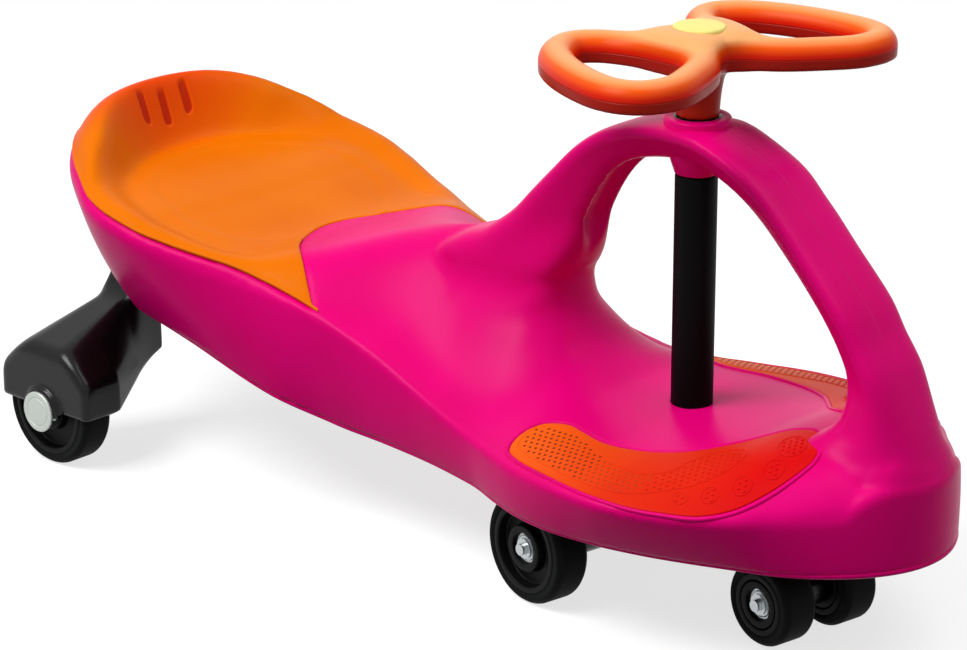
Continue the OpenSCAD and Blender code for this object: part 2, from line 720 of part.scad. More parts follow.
module hand_loop() {
    rings = [for (i = [0 : loop_steps * len(loop_shares) - 1]) loop_ring(i / loop_steps)];
    n = len(rings[0]);
    faces = [for (i = [0 : len(rings) - 1], j = [0 : n - 1])
        let (k = (j + 1) % n, a = i * n, b = (i + 1) % len(rings) * n)
        each [[a + j, b + j, b + k], [a + j, b + k, a + k]]];
    polyhedron(points = [for (r = rings) each r], faces = faces);
}
module steering_wheel() {
    color(wheel_orange)
    turned() {
        difference() {
            union() {
                hand_loop();
                mirror([0, 1, 0])
                    hand_loop();
                translate([0, 0, loop_z])
                    cylinder(r = hub_r, h = hub_top - loop_z, $fn = round_fn);
                translate([0, 0, neck_bottom])
                    cylinder(r1 = neck_r, r2 = hub_r * neck_flare_share, h = neck_len, $fn = round_fn);
            }
            translate([0, 0, neck_bottom - over])
                cylinder(r = shaft_r + run_gap, h = hub_top, $fn = round_fn);
            translate([0, 0, pocket_floor])
                cylinder(r = pocket_r, h = pocket_depth + over, $fn = round_fn);
        }
    }
}
module hub_cap() {
    color(pale_yellow)
    turned() {
        translate([0, 0, hub_top])
            cylinder(r1 = cap_r, r2 = cap_r * cap_taper_share, h = cap_h, $fn = round_fn);
        translate([0, 0, hub_top - cap_spigot])
            cylinder(r = pocket_r - run_gap, h = cap_spigot, $fn = round_fn);
    }
}
module hub_washer() {
    color(steel)
    turned() translate([0, 0, pocket_floor])
        ring(bolt_washer_r, axle_r + seat_gap, bolt_washer_t);
}
module hub_bolt() {
    color(steel)
    turned() {
        translate([0, 0, pocket_floor + bolt_washer_t])
            cylinder(r = bolt_head_r, h = bolt_head_h, $fn = 6);
        translate([0, 0, pocket_floor + bolt_washer_t - bolt_len + over])
            cylinder(r = axle_r, h = bolt_len, $fn = round_fn);
    }
}

// Carrier of the four front wheels
module cross_axle(x, z, half, r) {
    translate([x, half, z])
        rotate([90, 0, 0])
            cylinder(r = r, h = 2 * half, $fn = round_fn);
}
module wheel_carrier() {
    color(black_plastic)
    turned() {
        difference() {
            union() {
                translate([0, 0, carrier_bottom])
                    cylinder(r = carrier_r, h = carrier_len, $fn = round_fn);
                cross_axle(-main_trail, main_axle_z, beam_half, beam_r);
                hull() {
                    translate([0, 0, carrier_bottom])
                        cylinder(r = carrier_r, h = carrier_len / 2, $fn = blend_fn);
                    translate([-main_trail, main_mid / 2, main_axle_z])
                        rotate([90, 0, 0])
                            cylinder(r = beam_r - over, h = main_mid, $fn = blend_fn);
                }
                cross_axle(safety_lead, safety_axle_z, eye_half, eye_r);
                hull() {
                    translate([0, 0, carrier_bottom])
                        cylinder(r = eye_r, h = carrier_len / 2, $fn = blend_fn);
                    translate([safety_lead, eye_half - over, safety_axle_z])
                        rotate([90, 0, 0])
                            cylinder(r = eye_r - over, h = 2 * (eye_half - over), $fn = blend_fn);
                }
            }
            translate([0, 0, -over])
                cylinder(r = shaft_r + run_gap, h = deck_h, $fn = round_fn);
            translate([0, 0, carrier_bottom - carrier_len])
                cylinder(r = nut_r + washer_t + over, h = carrier_len, $fn = round_fn);
            cross_axle(-main_trail, main_axle_z, body_w, axle_r + run_gap);
            cross_axle(safety_lead, safety_axle_z, body_w, axle_r + run_gap);
        }
    }
}
module thrust_washer() {
    color(steel)
    turned() translate([0, 0, carrier_top + seat_gap])
        ring(bush_flange_r, shaft_r + run_gap, washer_t);
}
module carrier_washer() {
    color(steel)
    turned() translate([0, 0, carrier_bottom - washer_t])
        ring(nut_r + washer_t, shaft_r + run_gap, washer_t);
}
module carrier_nut() {
    color(steel)
    turned() translate([0, 0, carrier_bottom - washer_t - nut_h])
        difference() {
            cylinder(r = nut_r, h = nut_h, $fn = 6);
            translate([0, 0, -over])
                cylinder(r = shaft_r + run_gap, h = nut_h + 2 * over, $fn = round_fn);
        }
}
module main_axle() {
    color(steel)
    turned() cross_axle(-main_trail, main_axle_z, main_track / 2 + axle_tip, axle_r);
}
module safety_axle() {
    color(steel)
    turned() cross_axle(safety_lead, safety_axle_z, safety_track / 2 + axle_tip, axle_r);
}
// Push nuts that hold a pair of wheels on their axle
module push_nuts(x, z, outer) {
    for (side = [-1, 1]) {
        translate([x, side * (outer - bearing_inset + seat_gap), z])
            rotate([-90 * side, 0, 0])
                ring(push_nut_r, axle_r + run_gap, push_nut_t);
    }
}
module main_axle_nuts() {
    color(steel)
    turned() push_nuts(-main_trail, main_axle_z, main_track / 2);
}
module safety_axle_nuts() {
    color(steel)
    turned() push_nuts(safety_lead, safety_axle_z, safety_track / 2);
}

// Wheel pieces, about the wheel's own axis along Y; out is the outer side, 1 or -1
module wheel_core(r, w) {
    core_r = r - tyre_t;
    rotate([90, 0, 0])
        difference() {
            translate([0, 0, -w / 2])
                cylinder(r = core_r, h = w, $fn = round_fn);
            for (face = [0, 1]) {
                mirror([0, 0, face]) {
                    translate([0, 0, w / 2 - web_recess])
                        ring(core_r - rim_t, hub_boss_r, web_recess + over);
                    translate([0, 0, w / 2 - bearing_w - bearing_inset])
                        cylinder(r = bearing_r + run_gap, h = bearing_w + web_recess, $fn = round_fn);
                }
            }
            cylinder(r = axle_r + 2 * over, h = w, center = true, $fn = round_fn);
        }
}
module wheel_tyre(r, w) {
    rotate([90, 0, 0])
        rotate_extrude($fn = round_fn)
            difference() {
                translate([r - tyre_t, -w / 2])
                    square([tyre_t, w]);
                for (face = [-1, 1]) {
                    translate([r, face * w / 2])
                        rotate([0, 0, 45])
                            square(tyre_round * sqrt(2), center = true);
                }
            }
}
module wheel_bearings(w) {
    for (face = [-1, 1]) {
        translate([0, face * (w / 2 - bearing_inset - bearing_w / 2), 0])
            rotate([90, 0, 0])
                translate([0, 0, -bearing_w / 2])
                    ring(bearing_r, axle_r + run_gap, bearing_w);
    }
}
module rear_place(side) {
    at_axis() translate([-wheelbase, side * rear_mid, rear_axle_z])
        children();
}
module main_place(side) {
    turned() translate([-main_trail, side * main_mid, main_axle_z])
        children();
}
module safety_place(side) {
    turned() translate([safety_lead, side * safety_mid, safety_axle_z])
        children();
}
module rear_left_core() {
    color(black_plastic) rear_place(1) wheel_core(rear_r, rear_w);
}
module rear_left_tyre() {
    color(tyre_grey) rear_place(1) wheel_tyre(rear_r, rear_w);
}
module rear_left_bearings() {
    color(steel) rear_place(1) wheel_bearings(rear_w);
}
module rear_right_core() {
    color(black_plastic) rear_place(-1) wheel_core(rear_r, rear_w);
}
module rear_right_tyre() {
    color(tyre_grey) rear_place(-1) wheel_tyre(rear_r, rear_w);
}
module rear_right_bearings() {
    color(steel) rear_place(-1) wheel_bearings(rear_w);
}
module main_left_core() {
    color(black_plastic) main_place(1) wheel_core(main_r, main_w);
}
module main_left_tyre() {
    color(tyre_grey) main_place(1) wheel_tyre(main_r, main_w);
}
module main_left_bearings() {
    color(steel) main_place(1) wheel_bearings(main_w);
}
module main_right_core() {
    color(black_plastic) main_place(-1) wheel_core(main_r, main_w);
}
module main_right_tyre() {
    color(tyre_grey) main_place(-1) wheel_tyre(main_r, main_w);
}
module main_right_bearings() {
    color(steel) main_place(-1) wheel_bearings(main_w);
}
module safety_left_core() {
    color(black_plastic) safety_place(1) wheel_core(safety_r, safety_w);
}
module safety_left_tyre() {
    color(tyre_grey) safety_place(1) wheel_tyre(safety_r, safety_w);
}
module safety_left_bearings() {
    color(steel) safety_place(1) wheel_bearings(safety_w);
}
module safety_right_core() {
    color(black_plastic) safety_place(-1) wheel_core(safety_r, safety_w);
}
module safety_right_tyre() {
    color(tyre_grey) safety_place(-1) wheel_tyre(safety_r, safety_w);
}
module safety_right_bearings() {
    color(steel) safety_place(-1) wheel_bearings(safety_w);
}

// Rear leg: strut, flange and wheel hood, drawn for the left side about the rear axle's middle
module hood_slice(x_half, y_in, y_out, z) {
    translate([-x_half, y_in, z])
        cube([2 * x_half, y_out - y_in, over]);
}
module rear_leg(side) {
    color(black_plastic)
    at_axis() translate([-wheelbase, 0, 0])
        mirror([0, side < 0 ? 1 : 0, 0])
            difference() {
                union() {
                    hull() {
                        hood_slice(hood_half - hood_roof_in, hood_in, hood_out, hood_end - over);
                        hood_slice(hood_half, hood_in, hood_out, hood_shoulder - over);
                        hood_slice(hood_half, hood_in, hood_out, hood_foot);
                        translate([-strut_len / 2, strut_in, hood_shoulder])
                            cube([strut_len, strut_t, hood_top - hood_shoulder]);
                    }
                    translate([-strut_len / 2, strut_in, hood_shoulder])
                        cube([strut_len, strut_t, leg_top - hood_shoulder]);
                    translate([-strut_len / 2, flange_in, leg_top - flange_t])
                        cube([strut_len, flange_w, flange_t]);
                    translate([0, hood_out + axle_boss_h, rear_axle_z])
                        rotate([90, 0, 0])
                            cylinder(r = axle_boss_r, h = axle_boss_h + hood_wall, $fn = round_fn);
                    translate([0, well_in, rear_axle_z])
                        rotate([90, 0, 0])
                            cylinder(r = axle_boss_r, h = hood_wall, $fn = round_fn);
                }
                translate([0, well_out, rear_axle_z])
                    rotate([90, 0, 0])
                        cylinder(r = well_r, h = well_out - well_in, $fn = round_fn);
                translate([-well_r, well_in, 0])
                    cube([2 * well_r, well_out - well_in, rear_axle_z]);
                translate([-nut_room, strut_out, 0])
                    cube([2 * nut_room, hood_in - strut_out, rear_axle_z + nut_room]);
                cross_axle(0, rear_axle_z, body_w, axle_r + run_gap);
                for (end = [-1, 1]) {
                    translate([0, flange_mid + end * leg_screw_pitch / 2, 0])
                        cylinder(r = leg_screw_r + run_gap, h = seat_h, $fn = round_fn);
                }
            }
}
module rear_leg_left() {
    rear_leg(1);
}
module rear_leg_right() {
    rear_leg(-1);
}
module leg_screws() {
    color(steel)
    leg_screw_places()
        translate([0, 0, -flange_t])
            pan_screw(leg_screw_r, leg_screw_len, leg_screw_head_r, leg_screw_head_h);
}
module rear_axle(side) {
    inner = hood_in - rear_nut_h - over;
    outer = cap_face - axle_cap_h;
    color(steel)
    at_axis() translate([-wheelbase, side > 0 ? outer : -inner, rear_axle_z])
        rotate([90, 0, 0])
            cylinder(r = axle_r, h = outer - inner, $fn = round_fn);
}
module rear_axle_left() {
    rear_axle(1);
}
module rear_axle_right() {
    rear_axle(-1);
}
module rear_axle_cap(side) {
    color(steel)
    at_axis() translate([-wheelbase, side * (cap_face - axle_cap_h), rear_axle_z])
        rotate([-90 * side, 0, 0])
            cylinder(r1 = axle_cap_r, r2 = axle_cap_r * cap_taper_share, h = axle_cap_h, $fn = round_fn);
}
module rear_axle_cap_left() {
    rear_axle_cap(1);
}
module rear_axle_cap_right() {
    rear_axle_cap(-1);
}
module rear_axle_nuts() {
    color(steel)
    for (side = [-1, 1]) {
        at_axis() translate([-wheelbase, side * hood_in, rear_axle_z])
            rotate([90 * side, 0, 0])
                difference() {
                    cylinder(r = rear_nut_r, h = rear_nut_h, $fn = 6);
                    translate([0, 0, -over])
                        cylinder(r = axle_r + run_gap, h = rear_nut_h + 2 * over, $fn = round_fn);
                }
    }
}

body_shell();
seat_insert();
seat_screws();
foot_pad_left();
foot_pad_right();
upper_bush();
lower_bush();
column_sleeve();
rear_leg_left();
rear_leg_right();
leg_screws();
rear_axle_left();
rear_axle_right();
rear_axle_cap_left();
rear_axle_cap_right();
rear_axle_nuts();
steering_wheel();
hub_cap();
hub_bolt();
hub_washer();
steering_shaft();
wheel_carrier();
thrust_washer();
carrier_washer();
carrier_nut();
main_axle();
main_axle_nuts();
safety_axle();
safety_axle_nuts();
rear_left_core();
rear_left_tyre();
rear_left_bearings();
rear_right_core();
rear_right_tyre();
rear_right_bearings();
main_left_core();
main_left_tyre();
main_left_bearings();
main_right_core();
main_right_tyre();
main_right_bearings();
safety_left_core();
safety_left_tyre();
safety_left_bearings();
safety_right_core();
safety_right_tyre();
safety_right_bearings();
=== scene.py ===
"""Looks of the wiggle car: body, seat, pads, steering wheel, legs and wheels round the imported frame."""
import math

import bpy
import numpy as np
from mathutils import Matrix, Vector, geometry


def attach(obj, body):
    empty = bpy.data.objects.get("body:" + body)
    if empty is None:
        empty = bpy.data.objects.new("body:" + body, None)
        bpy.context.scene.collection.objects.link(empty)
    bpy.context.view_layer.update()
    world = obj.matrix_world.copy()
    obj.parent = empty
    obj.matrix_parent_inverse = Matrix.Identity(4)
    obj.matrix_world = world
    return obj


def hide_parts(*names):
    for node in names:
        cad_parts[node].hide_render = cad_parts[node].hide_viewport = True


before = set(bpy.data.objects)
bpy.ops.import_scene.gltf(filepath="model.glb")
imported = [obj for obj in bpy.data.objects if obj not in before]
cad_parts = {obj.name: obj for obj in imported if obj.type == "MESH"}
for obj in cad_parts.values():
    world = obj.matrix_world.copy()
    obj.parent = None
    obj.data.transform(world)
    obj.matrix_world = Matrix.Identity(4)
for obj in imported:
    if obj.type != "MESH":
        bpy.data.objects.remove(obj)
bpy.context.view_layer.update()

# Shapes are worked out in millimetres, with the steering axis at x = 0
MM = 0.001
AXIS_X = 176.0
REST_STEER = math.radians(-9)


# Tables and curves

def curve(table, s, column=1):
    """Value at s on the smooth curve through a table's rows."""
    rows = np.asarray(table, float)
    s = np.asarray(s, float)
    last = len(rows) - 1
    i = np.clip(np.searchsorted(rows[:, 0], s, side="right") - 1, 0, last - 1)
    before = np.maximum(np.arange(last + 1) - 1, 0)
    after = np.minimum(np.arange(last + 1) + 1, last)
    slope = (rows[after, column] - rows[before, column]) / (rows[after, 0] - rows[before, 0])
    h = rows[i + 1, 0] - rows[i, 0]
    u = np.clip((s - rows[i, 0]) / h, 0, 1)
    v = 1 - u
    return (rows[i, column] * v * v * (1 + 2 * u) + rows[i + 1, column] * u * u * (1 + 2 * v)
            + h * u * v * (v * slope[i] - u * slope[i + 1]))


def step(u):
    """Smooth rise from 0 to 1 as u goes from 0 to 1."""
    k = np.clip(u, 0, 1)
    return k * k * (3 - 2 * k)


def closed_curve(points, n):
    """n points on each span of the closed smooth curve through points."""
    p = np.asarray(points, float)
    f = (np.arange(n) / n)[None, :, None]
    a, b, c, d = (np.roll(p, k, 0)[:, None] for k in (1, 0, -1, -2))
    q = b + f * (c - a + f * (2 * a - 5 * b + 4 * c - d + f * (3 * b - a - 3 * c + d))) / 2
    return q.reshape(-1, p.shape[1])


# The body's surfaces

# Driving sizes: from the steering axis to the tail and to the nose, half of the width, and the heights of
# the seat, of the lip round its back and of the arch's head
TAIL, NOSE, HALF_W, SEAT_H, LIP_H, HEAD_H = 556.0, 204.0, 146.0, 205.0, 48.0, 330.0
LENGTH = TAIL + NOSE
# Rear wheels' axles
REAR_X, REAR_Y, REAR_Z = -483.0, 144.0, 42.5
# Shares of the length over which the plan rounds off at the tail and at the nose
TAIL_ROUND, NOSE_ROUND, NOSE_POWER = 0.166, 0.229, 1.7
# Half-width that the deck keeps towards the nose, so that it has no ridge there
NOSE_FLAT = 62.0
# Each table's rows start with a share of the length, from the tail.
# Half-widths of the rim and of the skirt, as shares of HALF_W
RIM_W = [[0, 0.95], [0.09, 0.93], [0.13, 0.955], [0.18, 0.966], [0.21, 0.945], [0.235, 0.91],
         [0.28, 0.835], [0.33, 0.765], [0.39, 0.72], [0.46, 0.695], [0.51, 0.70], [0.54, 0.72],
         [0.60, 0.78], [0.67, 0.905], [0.73, 0.98], [0.78, 1], [0.86, 1], [0.90, 0.98], [0.92, 0.925],
         [0.94, 0.885], [0.96, 0.845], [1, 0.81]]
SKIRT_W = [[0, 0.69], [0.15, 0.685], [0.24, 0.765], [0.34, 0.745], [0.41, 0.67], [0.51, 0.675],
           [0.60, 0.75], [0.64, 0.82], [0.68, 0.88], [0.72, 0.90], [0.76, 0.88], [0.80, 0.85],
           [0.88, 0.81], [0.93, 0.83], [1, 0.82]]
# Heights of the rim, the middle, the skirt and the hollow's roof, as shares of SEAT_H
RIM_Z = [[0, 0.95], [0.13, 0.93], [0.18, 0.907], [0.21, 0.883], [0.28, 0.844], [0.33, 0.824],
         [0.39, 0.785], [0.46, 0.707], [0.51, 0.639], [0.54, 0.605], [0.60, 0.556], [0.67, 0.541],
         [0.73, 0.546], [0.85, 0.546], [0.93, 0.56], [1, 0.575]]
MID_Z = [[0, 1], [0.07, 1], [0.13, 0.985], [0.18, 0.96], [0.21, 0.93], [0.28, 0.88], [0.34, 0.917],
         [0.39, 0.966], [0.45, 1.02], [0.48, 1.045], [0.50, 1.065], [0.535, 1.075], [0.575, 0.976],
         [0.60, 0.854], [0.62, 0.756], [0.64, 0.70], [0.67, 0.654], [0.73, 0.639], [0.785, 0.649],
         [0.84, 0.678], [0.87, 0.712], [0.90, 0.73], [0.94, 0.73], [0.98, 0.683], [1, 0.634]]
SKIRT_Z = [[0, 0.805], [0.02, 0.78], [0.075, 0.693], [0.125, 0.595], [0.15, 0.556], [0.24, 0.53],
           [0.34, 0.43], [0.41, 0.375], [0.47, 0.365], [0.60, 0.36], [0.65, 0.355], [0.88, 0.355],
           [1, 0.352]]
ROOF = [[0, 0.95], [0.10, 0.95], [0.13, 0.94], [0.20, 0.92], [0.24, 0.90], [0.30, 0.90], [0.36, 0.92],
        [0.44, 0.94], [0.48, 0.89], [0.52, 0.79], [0.56, 0.67], [0.60, 0.59], [0.66, 0.59], [0.72, 0.60],
        [0.80, 0.61], [0.88, 0.63], [0.95, 0.63], [1, 0.60]]
# Height of the lip, as a share of LIP_H, and where across the half-width it starts and crests
LIP = [[0, 1], [0.035, 1], [0.06, 0.87], [0.087, 0.66], [0.113, 0.42], [0.13, 0.28], [0.17, 0.19],
       [0.23, 0.16], [0.287, 0.125], [0.337, 0], [1, 0]]
LIP_FOOT = [[0, 0.58], [0.07, 0.60], [0.15, 0.71], [0.20, 0.76], [1, 0.76]]
LIP_CREST = [[0, 0.79], [0.085, 0.815], [0.104, 0.88], [0.128, 0.93], [0.171, 0.94], [1, 0.94]]
# Powers of the curve by which the top falls from the middle to the rim
FALL_IN = [[0, 12], [0.29, 12], [0.36, 4], [0.44, 1.7], [0.60, 1.7], [0.68, 2.2], [1, 2.2]]
FALL_OUT = [[0, 1], [0.33, 1], [0.44, 2], [0.58, 2.2], [0.66, 1.2], [0.72, 1], [1, 1]]
# Crown of the arch: its height as a share of HEAD_H, and its width and depth as shares of their sizes
ARCH = [[0.42, 0.555, 0.80, 1], [0.449, 0.600, 1.05, 1.35], [0.478, 0.642, 1.22, 1.9],
        [0.507, 0.671, 1.20, 2.45], [0.5395, 0.724, 1.12, 2.40], [0.567, 0.788, 1.07, 1.88],
        [0.5895, 0.839, 1.03, 1.45], [0.617, 0.900, 1, 1.18], [0.6434, 0.942, 1, 1.05],
        [0.6684, 0.965, 1, 1], [0.6987, 0.981, 1, 0.95], [0.7316, 0.987, 1, 0.93],
        [0.7658, 0.981, 1, 0.91], [0.8184, 0.930, 1, 0.95], [0.8513, 0.867, 1, 0.95],
        [0.8816, 0.797, 1, 0.95], [0.9184, 0.709, 1, 0.97], [0.9382, 0.645, 1, 1.05],
        [0.954, 0.594, 1.03, 1.2], [0.9679, 0.535, 1.1, 1.5], [0.982, 0.470, 1.25, 2.0],
        [0.9885, 0.430, 1.4, 2.3], [0.987, 0.380, 1.5, 2.6], [0.982, 0.320, 1.4, 2.6],
        [0.977, 0.270, 1.2, 2.6]]
# Half-width and depth of the band, the share by which it is fuller on top, and the share that it loses below
ARCH_HALF, ARCH_DEPTH, ARCH_FULL, ARCH_TAPER = 28.0, 27.0, 0.17, 0.60
# Heights of the roots, the run over which the band comes free of them, and how the foot bends with the nose
REAR_ROOT_Z, FRONT_ROOT_Z, ROOT_RUN = 200.0, 150.0, 46.0
NOSE_BEND, BEND_DROP, BEND_RUN, BEND_FROM = 0.0072, 25.0, 70.0, 100.0
# Power of the band's rounded section, and the groove under it: share of the half-width, depth, slope, fade
ARCH_SQUARE = 3.8
GROOVE_WIDE, GROOVE_DEEP, GROOVE_SLOPE, GROOVE_FADE = 0.70, 9.0, 7.0, 12.0
# Outline of the left foot pad from the steering axis, as shares of HALF_W
PAD = [[-0.40, 0.80], [-0.43, 0.73], [-0.42, 0.65], [-0.37, 0.58], [-0.27, 0.54], [-0.16, 0.56],
       [-0.02, 0.59], [0.13, 0.58], [0.28, 0.54], [0.42, 0.46], [0.53, 0.35], [0.63, 0.24], [0.74, 0.165],
       [0.84, 0.155], [0.93, 0.225], [0.975, 0.34], [0.965, 0.45], [0.92, 0.60], [0.85, 0.73],
       [0.74, 0.83], [0.60, 0.89], [0.42, 0.94], [0.21, 0.95], [0, 0.925], [-0.20, 0.88], [-0.33, 0.84]]
# Front corners of the seat, tip of the body's tongue in it, and the body's lip round it
SEAT_FRONT, TONGUE_TIP, SEAT_LIP = 252.0, 344.0, 3.5
DECK_H = SEAT_H * float(curve(MID_Z, TAIL / LENGTH))
# The seat and the pads stand this far out of the body's skin
PROUD = 0.8
# The body's skin lies this much lower under the seat, and gets there over a run
SEAT_SINK, SINK_RUN = 3.4, 5.0
# Share of the side wall's height by which its middle bulges
WALL_BULGE = 0.2


def along(x):
    """Share of the length at a station."""
    return np.clip((x + TAIL) / LENGTH, 0, 1)


def end_round(s):
    """Share of the half-width that the rounded ends leave."""
    tail = np.sqrt(np.maximum(1 - np.maximum(1 - s / TAIL_ROUND, 0) ** 2, 0))
    nose = np.sqrt(np.maximum(1 - np.maximum((s - 1 + NOSE_ROUND) / NOSE_ROUND, 0) ** NOSE_POWER, 0))
    return np.where(s < TAIL_ROUND, tail, np.where(s > 1 - NOSE_ROUND, nose, 1.0))


def rim_w(s):
    """Half-width of the rim."""
    return HALF_W * curve(RIM_W, s) * end_round(s)


def top_at(s, t):
    """Height of the top at a share of the length and a share of the half-width."""
    u = np.maximum(1 - s / TAIL_ROUND, 0)
    r = np.minimum(np.sqrt(u * u + t * t * (1 - u * u)), 1)
    mid, rim = curve(MID_Z, s), curve(RIM_Z, s)
    fall = 1 - (1 - r ** curve(FALL_IN, s)) ** curve(FALL_OUT, s)
    foot, crest = curve(LIP_FOOT, s), curve(LIP_CREST, s)
    drop = np.clip((r - crest) / (1 - crest), 0, 1) ** 2
    lip = step((r - foot) / (crest - foot)) - 0.5 * drop
    return SEAT_H * (mid + (rim - mid) * fall) + LIP_H * curve(LIP, s) * lip


def top_z(x, y):
    """Height of the seat, hump and deck at a place in plan."""
    s = along(x)
    half = np.maximum(rim_w(s), np.where(s > 0.5, NOSE_FLAT, 1e-3))
    return top_at(s, np.minimum(np.abs(y) / half, 1))


def wall_w(x, z):
    """Half-width of the side wall at a station and a height, before the ends are rounded."""
    s = along(x)
    low, high = SEAT_H * curve(SKIRT_Z, s), top_at(s, np.ones_like(s))
    u = np.clip((z - low) / (high - low), -0.2, 1.2)
    foot = HALF_W * curve(SKIRT_W, s)
    return foot + (HALF_W * curve(RIM_W, s) - foot) * u + WALL_BULGE * (high - low) * u * (1 - u)


def smooth_max(a, b, k):
    """Larger of a and b, with the edge between them rounded over k."""
    h = np.clip(0.5 + 0.5 * (a - b) / k, 0, 1)
    return b + (a - b) * h + k * h * (1 - h)


def smooth_min(a, b, k):
    return -smooth_max(-a, -b, k)


# Meshes

# Points that are measured at once, which keeps memory small
AT_ONCE = 4000


def inside_gap(points, outline):
    """Distance of points from a closed outline in plan, positive inside it."""
    a, b = outline, np.roll(outline, -1, 0)
    d = b - a
    result = []
    for i in range(0, len(points), AT_ONCE):
        p = points[i:i + AT_ONCE, None]
        u = np.clip(((p - a) * d).sum(2) / np.maximum((d * d).sum(1), 1e-9), 0, 1)
        gap = np.sqrt(((p - a - u[..., None] * d) ** 2).sum(2)).min(1)
        up = (a[:, 1] > p[..., 1]) != (b[:, 1] > p[..., 1])
        rise = np.where(d[:, 1] == 0, 1e-9, d[:, 1])
        where = (b[:, 0] - a[:, 0]) * (p[..., 1] - a[:, 1]) / rise + a[:, 0]
        odd = (up & (p[..., 0] < where)).sum(1) % 2 == 1
        result.append(np.where(odd, gap, -gap))
    return np.concatenate(result)


def patch_table():
    """For each pattern of a cell's inside corners, the patch of surface that each of its 12 edges is on, and
    the number of patches. A thin wall crosses a cell in two patches."""
    def corner(axis, i, j, end):
        place = [i, j]
        place.insert(axis, end)
        return place[0] + 2 * place[1] + 4 * place[2]
    edges = [(corner(axis, i, j, 0), corner(axis, i, j, 1))
             for axis in range(3) for i in (0, 1) for j in (0, 1)]
    faces = [[c for c in range(8) if c >> axis & 1 == end] for axis in range(3) for end in (0, 1)]
    table, number = np.zeros((256, 12), np.int64), np.zeros(256, np.int64)
    for pattern in range(256):
        patch = {e: e for e, (a, b) in enumerate(edges) if (pattern >> a & 1) != (pattern >> b & 1)}
        for face in faces:
            here = [e for e in patch if edges[e][0] in face and edges[e][1] in face]
            outside = [c for c in face if not pattern >> c & 1]
            groups = [[e for e in here if c in edges[e]] for c in outside] if len(here) == 4 else [here]
            for group in groups:
                for e in group[1:]:
                    old, new = patch[e], patch[group[0]]
                    patch = {k: new if v == old else v for k, v in patch.items()}
        names = sorted(set(patch.values()))
        number[pattern] = len(names)
        for e, v in patch.items():
            table[pattern, e] = names.index(v)
    return table, number


PATCHES, PATCH_COUNT = patch_table()


def net(field, low, high, size, rounds=3, blend=None):
    """Vertices and quads of the surface where field is 0: one vertex for each patch of it in each cell of a
    grid, pulled onto it along the field's slope. blend gives the field's last value at points."""
    axes = [np.arange(a, b + size, size) for a, b in zip(low, high)]
    f = field(axes[0][:, None, None], axes[1][None, :, None], axes[2][None, None, :])
    f = np.broadcast_to(f, tuple(len(a) for a in axes))
    inside = f < 0
    pattern = np.zeros(tuple(n - 1 for n in f.shape), np.int64)
    for c in range(8):
        window = tuple(slice(c >> a & 1, f.shape[a] - 1 + (c >> a & 1)) for a in range(3))
        pattern += inside[window] * (1 << c)
    where = np.argwhere((pattern > 0) & (pattern < 255))
    shape = pattern[tuple(where.T)]
    many = PATCH_COUNT[shape]
    first = np.cumsum(many) - many
    index = np.full(pattern.shape, -1, np.int64)
    index[tuple(where.T)] = np.arange(len(where))
    total, hits = np.zeros((many.sum(), 3)), np.zeros(many.sum())
    quads = []
    for axis in range(3):
        others = [a for a in range(3) if a != axis]
        for i in (0, 1):
            for j in (0, 1):
                a = where.copy()
                a[:, others[0]] += i
                a[:, others[1]] += j
                b = a.copy()
                b[:, axis] += 1
                fa, fb = f[tuple(a.T)], f[tuple(b.T)]
                cross = (fa < 0) != (fb < 0)
                point = a[cross].astype(float)
                point[:, axis] += fa[cross] / (fa[cross] - fb[cross])
                vertex = first[cross] + PATCHES[shape[cross], 4 * axis + 2 * i + j]
                np.add.at(total, vertex, point)
                np.add.at(hits, vertex, 1)
        ahead = np.take(inside, range(1, f.shape[axis]), axis)
        behind = np.take(inside, range(f.shape[axis] - 1), axis)
        edges = np.argwhere(ahead != behind)
        for other in others:
            edges = edges[(edges[:, other] > 0) & (edges[:, other] < f.shape[other] - 1)]
        ring = []
        for i, j in ((1, 1), (0, 1), (0, 0), (1, 0)):
            c = edges.copy()
            c[:, others[0]] -= i
            c[:, others[1]] -= j
            cell = index[tuple(c.T)]
            ring.append(first[cell] + PATCHES[shape[cell], 4 * axis + 2 * i + j])
        quad = np.stack(ring, 1)
        flip = behind[tuple(edges.T)] != (axis == 1)
        quad[~flip] = quad[~flip][:, ::-1]
        quads.append(quad)
    start = np.array([a[0] for a in axes])
    p = start + total / hits[:, None] * size
    extra = blend(p) if blend else None
    for _ in range(rounds):
        value, slope = slope_at(field, p, extra)
        move = value[:, None] * slope / np.maximum((slope ** 2).sum(1), 0.05)[:, None]
        far = np.maximum(np.linalg.norm(move, axis=1) / (0.4 * size), 1)
        p = p - move / far[:, None]
    return p, np.concatenate(quads)


def slope_at(field, p, extra, e=0.05):
    """Value of a field and its slope at points."""
    more = () if extra is None else (extra,)
    value = field(*p.T, *more)
    return value, np.stack([(field(*(p + d).T, *more) - value) / e for d in np.eye(3) * e], 1)


def new_piece(name, points, faces):
    """Smooth mesh object from points in millimetres from the steering axis."""
    co = np.asarray(points, float) * MM
    co[:, 0] += AXIS_X * MM
    mesh = bpy.data.meshes.new(name)
    mesh.from_pydata(co.tolist(), [], [list(map(int, f)) for f in faces])
    mesh.validate()
    mesh.polygons.foreach_set("use_smooth", [True] * len(mesh.polygons))
    mesh.update()
    piece = bpy.data.objects.new(name, mesh)
    bpy.context.scene.collection.objects.link(piece)
    return piece


# Moulded body

